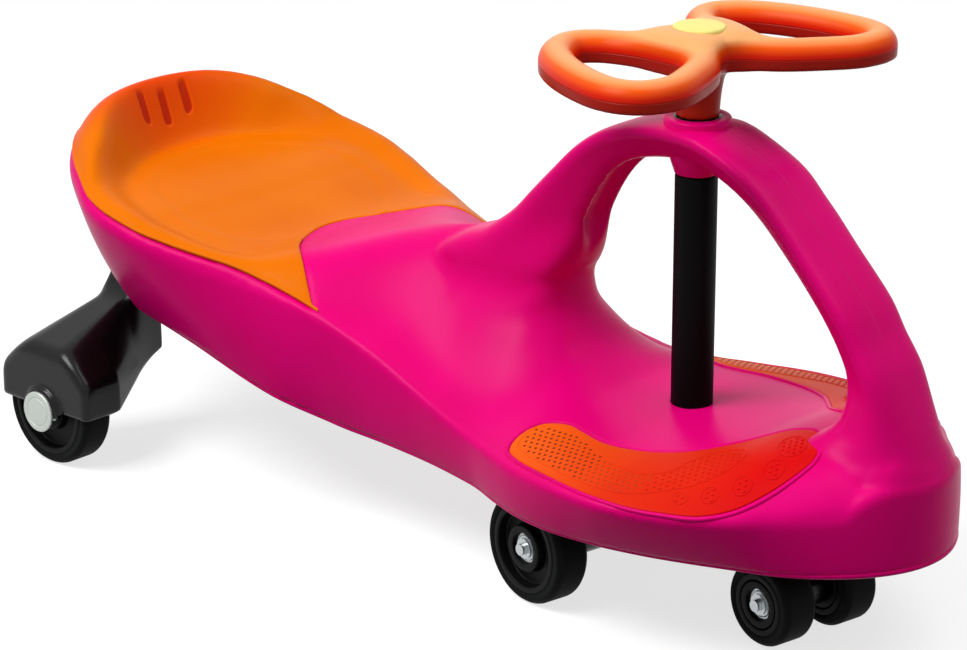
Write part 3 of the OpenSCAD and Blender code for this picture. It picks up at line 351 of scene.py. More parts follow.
# Crown of the arch from the side, with its direction, half-width and depth at each point
arch_rows = np.array([[i] + row for i, row in enumerate(ARCH)], float)
CROWN_POINTS = 300
arch_u = np.linspace(0, len(ARCH) - 1, CROWN_POINTS)
crown = np.stack([LENGTH * curve(arch_rows, arch_u, 1) - TAIL, HEAD_H * curve(arch_rows, arch_u, 2)], 1)
crown_way = np.gradient(crown, axis=0)
crown_way /= np.linalg.norm(crown_way, axis=1)[:, None]
crown_half = ARCH_HALF * curve(arch_rows, arch_u, 3)
crown_depth = ARCH_DEPTH * curve(arch_rows, arch_u, 4)
# Grid on which the arch is drawn from the side: lowest corner, step and number of places
SIDE_LOW, SIDE_STEP, SIDE_COUNT = np.array([-300.0, 30.0]), 1.5, (361, 228)
# Rounds of smoothing of the soffit's line, and of the widths and depths
SOFFIT_ROUNDS, MAP_ROUNDS = 120, 12


def arch_side():
    """The arch seen from the side, on a grid: distance to its outline and to its soffit, half-width, and half
    of its depth."""
    soffit = crown + crown_depth[:, None] * np.stack([crown_way[:, 1], -crown_way[:, 0]], 1)
    for _ in range(SOFFIT_ROUNDS):
        soffit[1:-1] = (soffit[:-2] + 2 * soffit[1:-1] + soffit[2:]) / 4
    lines = [low + SIDE_STEP * np.arange(n) for low, n in zip(SIDE_LOW, SIDE_COUNT)]
    x, z = np.meshgrid(*lines, indexing="ij")
    places = np.stack([x.ravel(), z.ravel()], 1)
    gap = -inside_gap(places, np.concatenate([crown, soffit[::-1]]))
    near = np.concatenate([((places[i:i + AT_ONCE, None] - crown) ** 2).sum(2).argmin(1)
                           for i in range(0, len(places), AT_ONCE)])
    under = np.abs(inside_gap(places, np.concatenate([soffit, soffit[::-1]])))
    maps = np.stack([m.reshape(x.shape) for m in (gap, under, crown_half[near], crown_depth[near] / 2)])
    for _ in range(MAP_ROUNDS):
        wide = np.pad(maps[2:], ((0, 0), (1, 1), (1, 1)), mode="edge")
        maps[2:] = (wide[:, :-2, 1:-1] + wide[:, 2:, 1:-1] + wide[:, 1:-1, :-2] + wide[:, 1:-1, 2:]) / 4
    return maps


arch_maps = arch_side()


def arch(x, y, z):
    """Distance, about, to the arch: a band that follows its crown, narrows underneath and is hollowed there.
    Both die out towards the roots, and the foot bends round with the nose."""
    low_down = 1 - step((z - FRONT_ROOT_Z + BEND_DROP) / BEND_RUN)
    bent = NOSE_BEND * y * y * low_down * step(x / BEND_FROM)
    place = [np.clip((v - low) / SIDE_STEP, 0, n - 1.001)
             for v, low, n in zip((x + bent, z), SIDE_LOW, SIDE_COUNT)]
    i, k = (np.floor(v).astype(int) for v in place)
    u, v = place[0] - i, place[1] - k
    gap, under, a, b = (m[i, k] * (1 - u) * (1 - v) + m[i + 1, k] * u * (1 - v)
                        + m[i, k + 1] * (1 - u) * v + m[i + 1, k + 1] * u * v
                        for m in arch_maps)
    free = step((z - np.where(x < 0, REAR_ROOT_Z, FRONT_ROOT_Z)) / ROOT_RUN)
    a = a * (1 + free * (ARCH_FULL - ARCH_TAPER * np.clip(1 - under / (2 * b), 0, 1)))
    p = ARCH_SQUARE
    v, w = np.abs(y) / a, np.maximum(1 + gap / b, 0)
    q = np.maximum(v ** p + w ** p, 1e-9) ** (1 / p)
    slope = q ** (1 - p) * np.sqrt((v ** (p - 1) / a) ** 2 + (w ** (p - 1) / b) ** 2)
    band = (q - 1) / np.maximum(slope, 0.5 / np.maximum(a, b))
    hollow = np.hypot(y / (GROOVE_WIDE * a), under / GROOVE_DEEP)
    groove = GROOVE_SLOPE * (hollow - 1) + GROOVE_FADE * (1 - free)
    return smooth_max(band, -groove, 4)


def seat_inside(x, y):
    """Distance inside the seat's outline, about."""
    e = 0.5
    half = float(rim_w(along(-SEAT_FRONT)))
    front = -TONGUE_TIP + (TONGUE_TIP - SEAT_FRONT) * (y / half) ** 2 - x
    w, ahead_w = (HALF_W * curve(RIM_W, along(x + d)) for d in (0, e))
    f = end_round(along(x)) ** 2 - (y / w) ** 2
    lean = (end_round(along(x + e)) ** 2 - (y / ahead_w) ** 2 - f) / e
    rim = np.minimum(f / np.maximum(np.hypot(lean, 2 * y / w ** 2), 1 / w), x + TAIL)
    return np.minimum(np.minimum(rim - SEAT_LIP, front), -SEAT_FRONT - x)


def tub(x, y, z):
    """Distances, about, to the body's top and to its side wall."""
    e = 0.5
    high = top_z(x, y) - PROUD - SEAT_SINK * step((seat_inside(x, y) + SINK_RUN / 2) / SINK_RUN)
    rise = [(top_z(x + e, y) - top_z(x - e, y)) / (2 * e),
            (top_z(x, y + e) - top_z(x, y - e)) / (2 * e)]
    top = (z - high) / np.sqrt(1 + rise[0] ** 2 + rise[1] ** 2)
    w, end = wall_w(x, z), end_round(along(x)) ** 2
    f = (y / w) ** 2 - end
    lean = [((y / wall_w(x + e, z)) ** 2 - end_round(along(x + e)) ** 2 - f) / e, 2 * y / w ** 2,
            ((y / wall_w(x, z + e)) ** 2 - end - f) / e]
    side = f / np.maximum(np.sqrt(lean[0] ** 2 + lean[1] ** 2 + lean[2] ** 2), 1 / w)
    return top, np.maximum(side, np.maximum(-TAIL - x, x - NOSE))


# Radius of the rim, thickness of the wall and of the skin, radius of the lower edge, and the column's hole
RIM_ROUND, WALL, SKIN, SKIRT_ROUND, COLUMN_HOLE = 5.0, 4.5, 8.5, 4.4, 11.3
# Ribs under the body: shares of the length, half of their thickness, and depth; then the two lengthwise ones
RIBS, RIB_HALF, RIB_DEEP = [0.20, 0.29, 0.38, 0.47, 0.56], 2.3, 10.0
LONG_RIB_Y, LONG_RIB_AT, LONG_RIB_RUN = 33.0, 0.38, 0.18
# Flange of each leg, the block over it that takes its screws, and the post round the column
FLANGE_Y, FLANGE_HALF_Y, FLANGE_Z, FLANGE_HALF_Z, STRUT_HALF = 47.0, 32.0, 154.0, 4.0, 15.0
BLOCK_BOTTOM = FLANGE_Z + FLANGE_HALF_Z + 0.3
POST_R, POST_DEEP = 20.0, 31.0
# Blend between tub and arch: least width, what an angle adds, and where it fades on the hump and the nose
BLEND_LEAST, BLEND_MORE = 2.0, 30.0
HUMP_ROOT_X, HUMP_RUN, NOSE_LOW_Z, NOSE_FROM_X, NOSE_RUN = -225.0, 60.0, 114.0, 100.0, 30.0


def body_field(x, y, z, k=12.0):
    """Distance, about, to the moulded body: a hollow tub, and an arch that meets it in a blend of width k."""
    top, side = tub(x, y, z)
    s = along(x)
    flat = np.sqrt(x * x + y * y)
    solid = smooth_min(smooth_max(top, side, RIM_ROUND), arch(x, y, z), k)
    skirt = SEAT_H * curve(SKIRT_Z, s)
    e = 0.002
    ahead, behind = np.minimum(s + e, 1), np.maximum(s - e, 0)
    lean = SEAT_H * (curve(SKIRT_Z, ahead) - curve(SKIRT_Z, behind)) / (2 * e * LENGTH)
    solid = smooth_max(solid, (skirt - z) / np.sqrt(1 + lean ** 2), SKIRT_ROUND)
    roof = np.minimum(top_z(x, y) - SKIN, SEAT_H * curve(ROOF, s))
    hollow = smooth_max(side + WALL, z - roof, 3)
    solid = smooth_max(solid, -hollow, 4)
    inner = np.maximum(side + WALL / 2, z - roof - SKIN / 2)
    rib = np.min([np.abs(x - share * LENGTH + TAIL) - RIB_HALF for share in RIBS], axis=0)
    long_rib = np.maximum(np.abs(np.abs(y) - LONG_RIB_Y) - RIB_HALF,
                          np.abs(x - LONG_RIB_AT * LENGTH + TAIL) - LONG_RIB_RUN * LENGTH)
    rib = np.maximum(np.minimum(rib, long_rib), roof - RIB_DEEP - z)
    block = np.maximum(np.abs(x - REAR_X) - STRUT_HALF, np.abs(np.abs(y) - FLANGE_Y) - FLANGE_HALF_Y)
    block = np.maximum(block, BLOCK_BOTTOM - z)
    post = np.maximum(flat - POST_R, DECK_H - POST_DEEP - z)
    solid = smooth_min(solid, np.maximum(np.minimum(np.minimum(rib, block), post), inner), 2)
    return np.maximum(solid, COLUMN_HOLE - flat)


def body_blend(p):
    """Width of the blend between the tub and the arch at points: wide where they meet at an angle,
    and none where they lie on each other."""
    def parts(q):
        top, side = tub(*q.T)
        return smooth_max(top, side, RIM_ROUND), arch(*q.T)
    e = 2.0
    base = parts(p)
    moved = [parts(p + d) for d in np.eye(3) * e]
    slopes = [np.stack([(part[i] - base[i]) / e for part in moved], 1) for i in (0, 1)]
    a, b = (g / np.maximum(np.linalg.norm(g, axis=1), 1e-6)[:, None] for g in slopes)
    nose = np.maximum(step((p[:, 2] - NOSE_LOW_Z) / NOSE_RUN), step((NOSE_FROM_X - p[:, 0]) / NOSE_RUN))
    shown = np.minimum(step((p[:, 0] - HUMP_ROOT_X) / HUMP_RUN), nose)
    return BLEND_LEAST + BLEND_MORE * np.clip(1 - (a * b).sum(1), 0, 1) * shown


# Steering wheel

# Centre line of the left hand loop, as shares of its reach
LOOP = [[0.21, 0.20], [0.34, 0.28], [0.47, 0.47], [0.58, 0.71], [0.54, 0.92], [0.34, 1], [-0.04, 0.93],
        [-0.36, 0.77], [-0.50, 0.56], [-0.41, 0.38], [-0.18, 0.26], [0.04, 0.195]]
# Reach and radius of the loops, and the straight skirt under their round top
LOOP_REACH, LOOP_R, LOOP_SKIRT, SKIRT_DRAFT = 112.0, 12.0, 8.0, 0.02
NECK_BOTTOM = HEAD_H + 0.6
LOOP_Z = NECK_BOTTOM + 34
HUB_TOP = LOOP_Z + LOOP_SKIRT + LOOP_R + 0.5
# Hub, how the loops lift towards it, neck, pocket under the cap and the shaft's bore
HUB_R, HUB_RISE, HUB_CLIP = 25.0, 4.6, 5.6
LIFT, LIFT_FROM, LIFT_RUN = 5.0, 14.0, 44.0
NECK_R, NECK_FLARE = 14.5, 4.5
POCKET_R, POCKET_DEEP, SHAFT_BORE = 16.4, 11.0, 8.05
loop_line = closed_curve(np.array(LOOP) * LOOP_REACH, 12)


def loop_gap(x, y):
    """Distance in plan to a hand loop's centre line."""
    px, py = np.broadcast_arrays(x, np.abs(y))
    shape = px.shape
    p = np.stack([px.ravel(), py.ravel()], 1)
    a = loop_line
    d = np.roll(a, -1, 0) - a
    found = []
    for i in range(0, len(p), AT_ONCE):
        q = p[i:i + AT_ONCE, None] - a[None]
        u = np.clip((q * d).sum(2) / (d * d).sum(1), 0, 1)
        found.append(np.sqrt(((q - u[:, :, None] * d) ** 2).sum(2)).min(1))
    return np.concatenate(found).reshape(shape)


def wheel_field(x, y, z):
    """Distance, about, to the steering wheel: two loops, saddle hub and neck that run into each other."""
    gap = loop_gap(x, y)
    flat = np.sqrt(x * x + y * y)
    lift = LIFT * (1 - step((flat - LIFT_FROM) / LIFT_RUN))
    over = np.maximum(z - LOOP_Z - LOOP_SKIRT - lift, 0)
    draft = SKIRT_DRAFT * np.maximum(LOOP_Z + LOOP_SKIRT - z, 0)
    loop = smooth_max(np.sqrt(gap * gap + over * over) - LOOP_R + draft, LOOP_Z - z, 2.5)
    hub = smooth_max(smooth_max(flat - HUB_R, z - HUB_TOP - HUB_RISE, 10), LOOP_Z - 2 - z, 6)
    wheel = smooth_max(smooth_min(loop, hub, 22), LOOP_Z - 1 - z, 3)
    u = np.clip((z - NECK_BOTTOM) / (LOOP_Z - NECK_BOTTOM), 0, 1.1)
    neck = np.maximum(flat - NECK_R - NECK_FLARE * u * u, np.maximum(NECK_BOTTOM - z, z - LOOP_Z - 6))
    wheel = smooth_min(wheel, neck, 9)
    wheel = np.maximum(smooth_max(wheel, z - HUB_TOP - HUB_CLIP, 9), NECK_BOTTOM - z)
    pocket = np.maximum(flat - POCKET_R, HUB_TOP - POCKET_DEEP - z)
    return np.maximum(np.maximum(wheel, -pocket), SHAFT_BORE - flat)


# Rear legs

# Outer and inner faces of the hood, its half-width, its lower edge and that of its bevel
HOOD_OUT, HOOD_IN, HOOD_HALF, HOOD_BOTTOM, BEVEL_BOTTOM = 160.5, 127.5, 47.5, 43.5, 70.0
# Roof and crest of the hood at its outer face, their slopes inboard, and the slope of the underside
ROOF_Z, ROOF_RISE, CREST_HALF, CREST_FALL, UNDER_RISE = 90.0, 0.319, 25.5, 0.129, 0.414
# Strut up to the body: inboard face, middle, half-depth, top and bottom
STRUT_IN, STRUT_Y, STRUT_DEEP, STRUT_TOP, STRUT_BOTTOM = 61.0, 70.0, 9.0, 157.0, 71.0
# Wheel well, bosses round the axle, the axle's hole, and the room inside the strut
WELL_R, WELL_HALF, BOSS_R, BOSS_OUT, BOSS_IN, AXLE_HOLE = 44.5, 13.5, 18.0, 4.0, 3.0, 4.05
ROOM_HALF, ROOM_IN = 10.5, 79.0


def leg_field(x, y, z):
    """Distance, about, to a left rear leg, with x from its axle: a bevelled hood that narrows to a strut."""
    ax = np.abs(x)
    far = HOOD_OUT - y
    roof, crest = ROOF_Z + far * ROOF_RISE, CREST_HALF - far * CREST_FALL
    wide = STRUT_HALF + (y - STRUT_IN) * (HOOD_HALF - STRUT_HALF) / (HOOD_IN - STRUT_IN)
    wide = np.clip(wide, STRUT_HALF, HOOD_HALF)
    bevel = (ax - crest) * (roof - BEVEL_BOTTOM) + (z - roof) * (wide - crest)
    bevel = bevel / np.hypot(roof - BEVEL_BOTTOM, wide - crest)
    under = (HOOD_BOTTOM + (HOOD_IN - y) * UNDER_RISE - z) / math.hypot(1, UNDER_RISE)
    hood = y - HOOD_OUT
    for face, k in (((z - roof) * 0.953, 9), (bevel, 8), ((ax - wide) * 0.9, 5), (STRUT_IN - y, 3),
                    (HOOD_BOTTOM - z, 3), (under, 3)):
        hood = smooth_max(hood, face, k)
    strut = smooth_max(smooth_max(ax - STRUT_HALF, np.abs(y - STRUT_Y) - STRUT_DEEP, 5),
                       np.maximum(z - STRUT_TOP, STRUT_BOTTOM - z), 3)
    leg = smooth_min(hood, strut, 16)
    flange = smooth_max(ax - STRUT_HALF, np.abs(y - FLANGE_Y) - FLANGE_HALF_Y, 4)
    flange = smooth_max(flange, np.abs(z - FLANGE_Z) - FLANGE_HALF_Z, 2)
    leg = smooth_min(leg, flange, 5)
    axle = np.sqrt(x * x + (z - REAR_Z) ** 2)
    boss = smooth_max(axle - BOSS_R, np.maximum(y - HOOD_OUT - BOSS_OUT, HOOD_OUT - BOSS_IN - y), 2)
    leg = smooth_min(leg, boss, 3)
    inner = np.maximum(axle - BOSS_R, np.maximum(y - HOOD_IN - BOSS_IN, HOOD_IN - y))
    leg = np.minimum(leg, inner)
    way_in = np.minimum(axle - WELL_R, np.maximum(ax - WELL_R, z - REAR_Z))
    well = smooth_max(way_in, np.abs(y - REAR_Y) - WELL_HALF, 6)
    leg = smooth_max(leg, -well, 1.2)
    room = smooth_max(smooth_max(ax - ROOM_HALF, z - REAR_Z - ROOM_HALF, 2),
                      np.maximum(ROOM_IN - y, y - HOOD_IN), 2)
    leg = smooth_max(leg, -room, 2)
    return np.maximum(leg, AXLE_HOLE - axle)


# Turned shapes and sheets

def lathe(profile, n=96):
    """Points and faces of a profile of (radius, height) turned about Z; a radius of 0 closes an end."""
    points, faces, rings = [], [], []
    angles = np.arange(n) * 2 * math.pi / n
    for r, h in profile:
        if r < 1e-6:
            rings.append([len(points)])
            points.append((0, 0, h))
        else:
            rings.append(list(range(len(points), len(points) + n)))
            points += [(r * math.cos(a), r * math.sin(a), h) for a in angles]
    pairs = list(zip(rings, rings[1:]))
    if len(rings[0]) > 1 and len(rings[-1]) > 1:
        pairs.append((rings[-1], rings[0]))
    for a, b in pairs:
        for i in range(n):
            j = (i + 1) % n
            if len(a) == 1:
                faces.append((a[0], b[j], b[i]))
            elif len(b) == 1:
                faces.append((a[i], a[j], b[0]))
            else:
                faces.append((a[i], a[j], b[j], b[i]))
    return np.array(points, float), faces


def rounded(profile, radii, steps=4):
    """Profile with its corners rounded to the radii given for them; 0 keeps a corner."""
    out = []
    pts = [np.array(p, float) for p in profile]
    for i, (p, r) in enumerate(zip(pts, radii)):
        a, b = pts[i - 1], pts[(i + 1) % len(pts)]
        if r == 0:
            out.append(tuple(p))
            continue
        u, v = (a - p) / np.linalg.norm(a - p), (b - p) / np.linalg.norm(b - p)
        half = math.acos(np.clip(u @ v, -1, 1)) / 2
        cut = r / math.tan(half)
        centre = p + (u + v) / np.linalg.norm(u + v) * r / math.sin(half)
        s, e = p + u * cut - centre, p + v * cut - centre
        sweep = math.pi - 2 * half
        turn = math.copysign(1, s[0] * e[1] - s[1] * e[0])
        for k in range(steps + 1):
            t = turn * sweep * k / steps
            across, up = math.cos(t), math.sin(t)
            out.append(tuple(centre + (s[0] * across - s[1] * up, s[0] * up + s[1] * across)))
    return out


def both_halves(profile, radii, steps):
    """Rounded profile that is the same above and below height 0, from its lower half."""
    return rounded(profile + [(r, -h) for r, h in reversed(profile)], radii + radii[::-1], steps)


def moved(shape, matrix):
    """Points and faces, with the points moved by a matrix."""
    points, faces = shape
    return np.asarray(points) @ np.array(matrix.to_3x3()).T + np.array(matrix.translation), faces


def join(parts):
    """One list of points and one of faces from several."""
    points, faces, start = [], [], 0
    for p, f in parts:
        points.append(np.asarray(p, float))
        faces += [[i + start for i in face] for face in f]
        start += len(p)
    return np.concatenate(points), faces


def tube(line, r, n=8):
    """Thin round bead along a closed line of points."""
    line = np.asarray(line, float)
    ahead = np.roll(line, -1, 0) - np.roll(line, 1, 0)
    ahead /= np.maximum(np.linalg.norm(ahead, axis=1), 1e-9)[:, None]
    side = np.cross(ahead, [0, 0, 1])
    side /= np.maximum(np.linalg.norm(side, axis=1), 1e-9)[:, None]
    up = np.cross(side, ahead)
    angles = np.arange(n) * 2 * math.pi / n
    turn = np.cos(angles)[None, :, None] * side[:, None] + np.sin(angles)[None, :, None] * up[:, None]
    points = (line[:, None] + r * turn).reshape(-1, 3)
    faces = []
    for i in range(len(line)):
        k = (i + 1) % len(line)
        faces += [(i * n + j, i * n + (j + 1) % n, k * n + (j + 1) % n, k * n + j) for j in range(n)]
    return points, faces


# Seat and foot pads

def outward(outline):
    """Unit directions out of a closed outline that runs anticlockwise."""
    ahead = np.roll(outline, -1, 0) - np.roll(outline, 1, 0)
    out = np.stack([ahead[:, 1], -ahead[:, 0]], 1)
    return out / np.maximum(np.linalg.norm(out, axis=1), 1e-9)[:, None]


# Rows of a staggered pattern lie this share of the pitch apart
ROW_SHARE = 0.866


def dots_in(low, high, pitch):
    """Staggered rows of places in plan."""
    rows = []
    for i, y in enumerate(np.arange(low[1], high[1], pitch * ROW_SHARE)):
        x = np.arange(low[0] + (i % 2) * pitch / 2, high[0], pitch)
        rows.append(np.stack([x, np.full(len(x), y)], 1))
    return np.concatenate(rows)


def inlay(outline, inner, height, roll, depth):
    """Closed sheet on the body: a skin over the outline, an edge that rolls over, and an underside."""
    following = np.roll(outline, -1, 0)
    if (outline[:, 0] * following[:, 1] - following[:, 0] * outline[:, 1]).sum() < 0:
        outline = outline[::-1]
    out = outward(outline)
    rim = outline - out * roll
    inner = inner[inside_gap(inner, rim) > 0.5]
    flat = [Vector(p) for p in np.concatenate([rim, inner])]
    n = len(rim)
    skin = geometry.delaunay_2d_cdt(flat, [], [list(range(n))], 1, 1e-6)
    plan = np.array([list(v) for v in skin[0]])
    points = [np.column_stack([plan, height(plan[:, 0], plan[:, 1])])]
    faces = [list(f) for f in skin[2]]
    place = {k: i for i, known in enumerate(skin[3]) for k in known}
    ring = [place[k] for k in range(n)]
    base = height(rim[:, 0], rim[:, 1])
    start = len(plan)
    for angle in (30, 60, 90):
        a = math.radians(angle)
        points.append(np.column_stack([rim + out * roll * math.sin(a), base - roll * (1 - math.cos(a))]))
        fresh = list(range(start, start + n))
        faces += [(ring[k], fresh[k], fresh[(k + 1) % n], ring[(k + 1) % n]) for k in range(n)]
        ring, start = fresh, start + n
    points.append(points[0] - [0, 0, depth])
    faces += [[start + i for i in f][::-1] for f in skin[2]]
    fresh = [start + place[k] for k in range(n)]
    faces += [(ring[k], fresh[k], fresh[(k + 1) % n], ring[(k + 1) % n]) for k in range(n)]
    return np.concatenate(points), faces


SEAT_POINTS = 420


def seat_outline():
    """Plan of the seat: round the tail inside the body's lip, and in front along the body's tongue."""
    x = -TAIL + (TAIL - SEAT_FRONT) * (1 - np.cos(np.linspace(0, math.pi / 2, 240)))
    rim = np.stack([x, rim_w(along(x))], 1)
    ahead = np.gradient(rim, axis=0)
    ahead[0] = 0, 1
    inward = np.stack([ahead[:, 1], -ahead[:, 0]], 1)
    side = rim + SEAT_LIP * inward / np.linalg.norm(ahead, axis=1)[:, None]
    half = float(rim_w(along(-SEAT_FRONT)))
    v = np.linspace(side[-1, 1], -side[-1, 1], 90)[1:-1]
    tongue = np.stack([-TONGUE_TIP + (TONGUE_TIP - SEAT_FRONT) * (v / half) ** 2, v], 1)
    outline = np.concatenate([side, tongue, (side[1:] * [1, -1])[::-1]])
    closed = np.concatenate([outline, outline[:1]])
    run = np.concatenate([[0], np.cumsum(np.linalg.norm(np.diff(closed, axis=0), axis=1))])
    at = np.linspace(0, run[-1], SEAT_POINTS + 1)[:-1]
    return np.stack([np.interp(at, run, closed[:, k]) for k in (0, 1)], 1)[::-1]


# Three slots in the seat's back, measured along its slope, and the faint oval of its pan
SLOT_X, SLOT_PITCH, SLOT_LEN, SLOT_W, SLOT_DEEP = 0.048 * LENGTH - TAIL, 21.0, 27.0, 7.6, 2.8
OVAL_X, OVAL_LONG, OVAL_WIDE, OVAL_DEEP = -405.0, 84.0, 92.0, 0.9
slot_near = 6.0
slot_ends = top_z(SLOT_X + np.array([-slot_near, slot_near]), np.zeros(2))
slot_fold = math.cos(math.atan(float(slot_ends[0] - slot_ends[1]) / (2 * slot_near)))


def slot_gap(x, y):
    """Distance from the edge of the nearest slot in the seat's back, negative inside it."""
    lie = np.maximum(np.abs((x - SLOT_X) / slot_fold) - (SLOT_LEN - SLOT_W) / 2, 0)
    across = np.min([np.abs(y - k * SLOT_PITCH) for k in (-1, 0, 1)], axis=0)
    return np.sqrt(lie ** 2 + across ** 2) - SLOT_W / 2


def seat_top(x, y):
    """Top of the seat: the body's surface with the slots sunk in, and a faint oval pressed into the pan."""
    oval = np.sqrt(((x - OVAL_X) / OVAL_LONG) ** 2 + (y / OVAL_WIDE) ** 2)
    return top_z(x, y) - SLOT_DEEP * step(0.5 - slot_gap(x, y)) - OVAL_DEEP * step((1 - oval) / 0.07)


# The pads' surface lies this far over the body's top
PAD_LIFT = 0.1


def pad_top(x, y):
    """Top of a foot pad."""
    return top_z(x, y) + PAD_LIFT


pad_line = closed_curve(np.array(PAD) * HALF_W, 8)


def on_pad(points, lift):
    """Places over the left pad's plan, lifted from the body's top."""
    return np.column_stack([points, top_z(points[:, 0], points[:, 1]) + lift])


# Dotted sole of the left pad, and the five ovals of its toes: place, half-sizes and turn, as shares of HALF_W
SOLE = [[-0.37, 0.61], [-0.27, 0.575], [-0.17, 0.59], [-0.10, 0.615], [0.02, 0.675], [0.175, 0.727],
        [0.31, 0.738], [0.40, 0.70], [0.445, 0.635], [0.465, 0.555], [0.51, 0.465], [0.58, 0.405],
        [0.65, 0.41], [0.69, 0.48], [0.68, 0.59], [0.61, 0.70], [0.52, 0.78], [0.42, 0.85], [0.30, 0.895],
        [0.1, 0.895], [-0.1, 0.86], [-0.25, 0.82], [-0.37, 0.775], [-0.40, 0.72], [-0.40, 0.65]]
TOES = [[0.835, 0.315, 0.085, 0.062, 60], [0.868, 0.485, 0.058, 0.046, 70],
        [0.808, 0.625, 0.052, 0.042, 60], [0.712, 0.728, 0.046, 0.038, 45],
        [0.60, 0.795, 0.040, 0.032, 30]]
sole_line = closed_curve(np.array(SOLE) * HALF_W, 8)


def toe_line(toe, n=40):
    """Outline of a toe's oval in plan."""
    x, y, a, b, turn = toe
    t = np.arange(n) * 2 * math.pi / n
    c, s = math.cos(math.radians(turn)), math.sin(math.radians(turn))
    u, v = a * np.cos(t), b * np.sin(t)
    return np.stack([x + u * c - v * s, y + u * s + v * c], 1) * HALF_W


# Materials

# Tone drifts over this length on a moulding, in metres
DRIFT = 0.09
# A mould's grain and a metal's tooling are about 0.1 mm wide. They are drawn at 0.5 to 1.2 mm, which is about
# as fine as the render shows.
METAL_GRAIN = 0.0012
RGBA = {"data_type": "RGBA"}


def srgb(code):
    """Linear colour from a hex code."""
    values = [int(code[i:i + 2], 16) / 255 for i in (1, 3, 5)]
    return tuple(v / 12.92 if v <= 0.04045 else ((v + 0.055) / 1.055) ** 2.4 for v in values) + (1.0,)


def node(tree, kind, settings=None, **inputs):
    """Adds a node with settings, and inputs by name or by place: a socket is linked, a value is set."""
    made = tree.nodes.new(kind)
    for name, value in (settings or {}).items():
        setattr(made, name, value)
    for name, value in inputs.items():
        by_place = name.startswith("in") and name[2:].isdigit()
        place = int(name[2:]) if by_place else name.replace("_", " ")
        if isinstance(value, bpy.types.NodeSocket):
            tree.links.new(value, made.inputs[place])
        else:
            made.inputs[place].default_value = value
    return made


def moulded(name, light, dark, rough, grain, depth, level, mark=None, bend=None):
    """Moulded plastic or rubber: a slow drift between two close tones, and a fine grain that breaks up the
    shine. grain is the grain's width and depth its height, in metres. mark and bend add colour and bump."""
    material = bpy.data.materials.new(name)
    material.use_nodes = True
    tree = material.node_tree
    shader = tree.nodes["Principled BSDF"]
    place = node(tree, "ShaderNodeTexCoord").outputs["Object"]
    drift = node(tree, "ShaderNodeTexNoise", Vector=place, Scale=1 / DRIFT, Detail=2.0, Roughness=0.5)
    tone = node(tree, "ShaderNodeMapRange", Value=drift.outputs[0], From_Min=0.35, From_Max=0.65)
    mixed = node(tree, "ShaderNodeMix", RGBA, in0=tone.outputs[0], in6=srgb(light), in7=srgb(dark))
    fine = node(tree, "ShaderNodeTexNoise", Vector=place, Scale=1 / grain, Detail=3.0, Roughness=0.6)
    shine = node(tree, "ShaderNodeMapRange", Value=fine.outputs[0], From_Min=0.3, From_Max=0.7,
                 To_Min=rough - 0.04, To_Max=rough + 0.05)
    colour = mark(tree, place, mixed.outputs[2]) if mark else mixed.outputs[2]
    height = bend(tree, place, fine.outputs[0]) if bend else fine.outputs[0]
    bump = node(tree, "ShaderNodeBump", Height=height, Strength=1.0, Distance=depth)
    tree.links.new(colour, shader.inputs["Base Color"])
    tree.links.new(shine.outputs[0], shader.inputs["Roughness"])
    tree.links.new(bump.outputs[0], shader.inputs["Normal"])
    shader.inputs["Specular IOR Level"].default_value = level
    return material


def metal(name, light, dark, rough, metallic):
    """Turned metal: a fine grain of tone and shine, as the tool and the plating leave it."""
    material = bpy.data.materials.new(name)
    material.use_nodes = True
    tree = material.node_tree
    shader = tree.nodes["Principled BSDF"]
    place = node(tree, "ShaderNodeTexCoord").outputs["Object"]
    fine = node(tree, "ShaderNodeTexNoise", Vector=place, Scale=1 / METAL_GRAIN, Detail=3.0, Roughness=0.6)
    colour = node(tree, "ShaderNodeMix", RGBA, in0=fine.outputs[0], in6=srgb(light), in7=srgb(dark))
    shine = node(tree, "ShaderNodeMapRange", Value=fine.outputs[0], From_Min=0.3, From_Max=0.7,
                 To_Min=rough - 0.06, To_Max=rough + 0.08)
    tree.links.new(colour.outputs[2], shader.inputs["Base Color"])
    tree.links.new(shine.outputs[0], shader.inputs["Roughness"])
    shader.inputs["Metallic"].default_value = metallic
    return material


def arch_seam(tree, place, height):
    """Fine parting line down the middle of the arch's front leg; its depth is in heights of the grain."""
    floor_half, edge_half, depth = 0.0002, 0.0007, 9.0
    axes = node(tree, "ShaderNodeSeparateXYZ", Vector=place)
    off = node(tree, "ShaderNodeMath", {"operation": "ABSOLUTE"}, in0=axes.outputs["Y"])
    line = node(tree, "ShaderNodeMapRange", Value=off.outputs[0], From_Min=floor_half, From_Max=edge_half,
                To_Min=1.0, To_Max=0.0)
    ahead = node(tree, "ShaderNodeMapRange", Value=axes.outputs["X"], From_Min=0.199, From_Max=0.203)
    above = node(tree, "ShaderNodeMapRange", Value=axes.outputs["Z"], From_Min=0.20, From_Max=0.24)
    both = node(tree, "ShaderNodeMath", {"operation": "MULTIPLY"}, in0=ahead.outputs[0], in1=above.outputs[0])
    cut = node(tree, "ShaderNodeMath", {"operation": "MULTIPLY"}, in0=line.outputs[0], in1=both.outputs[0])
    deep = node(tree, "ShaderNodeMath", {"operation": "MULTIPLY"}, in0=cut.outputs[0], in1=-depth)
    return node(tree, "ShaderNodeMath", {"operation": "ADD"}, in0=height, in1=deep.outputs[0]).outputs[0]


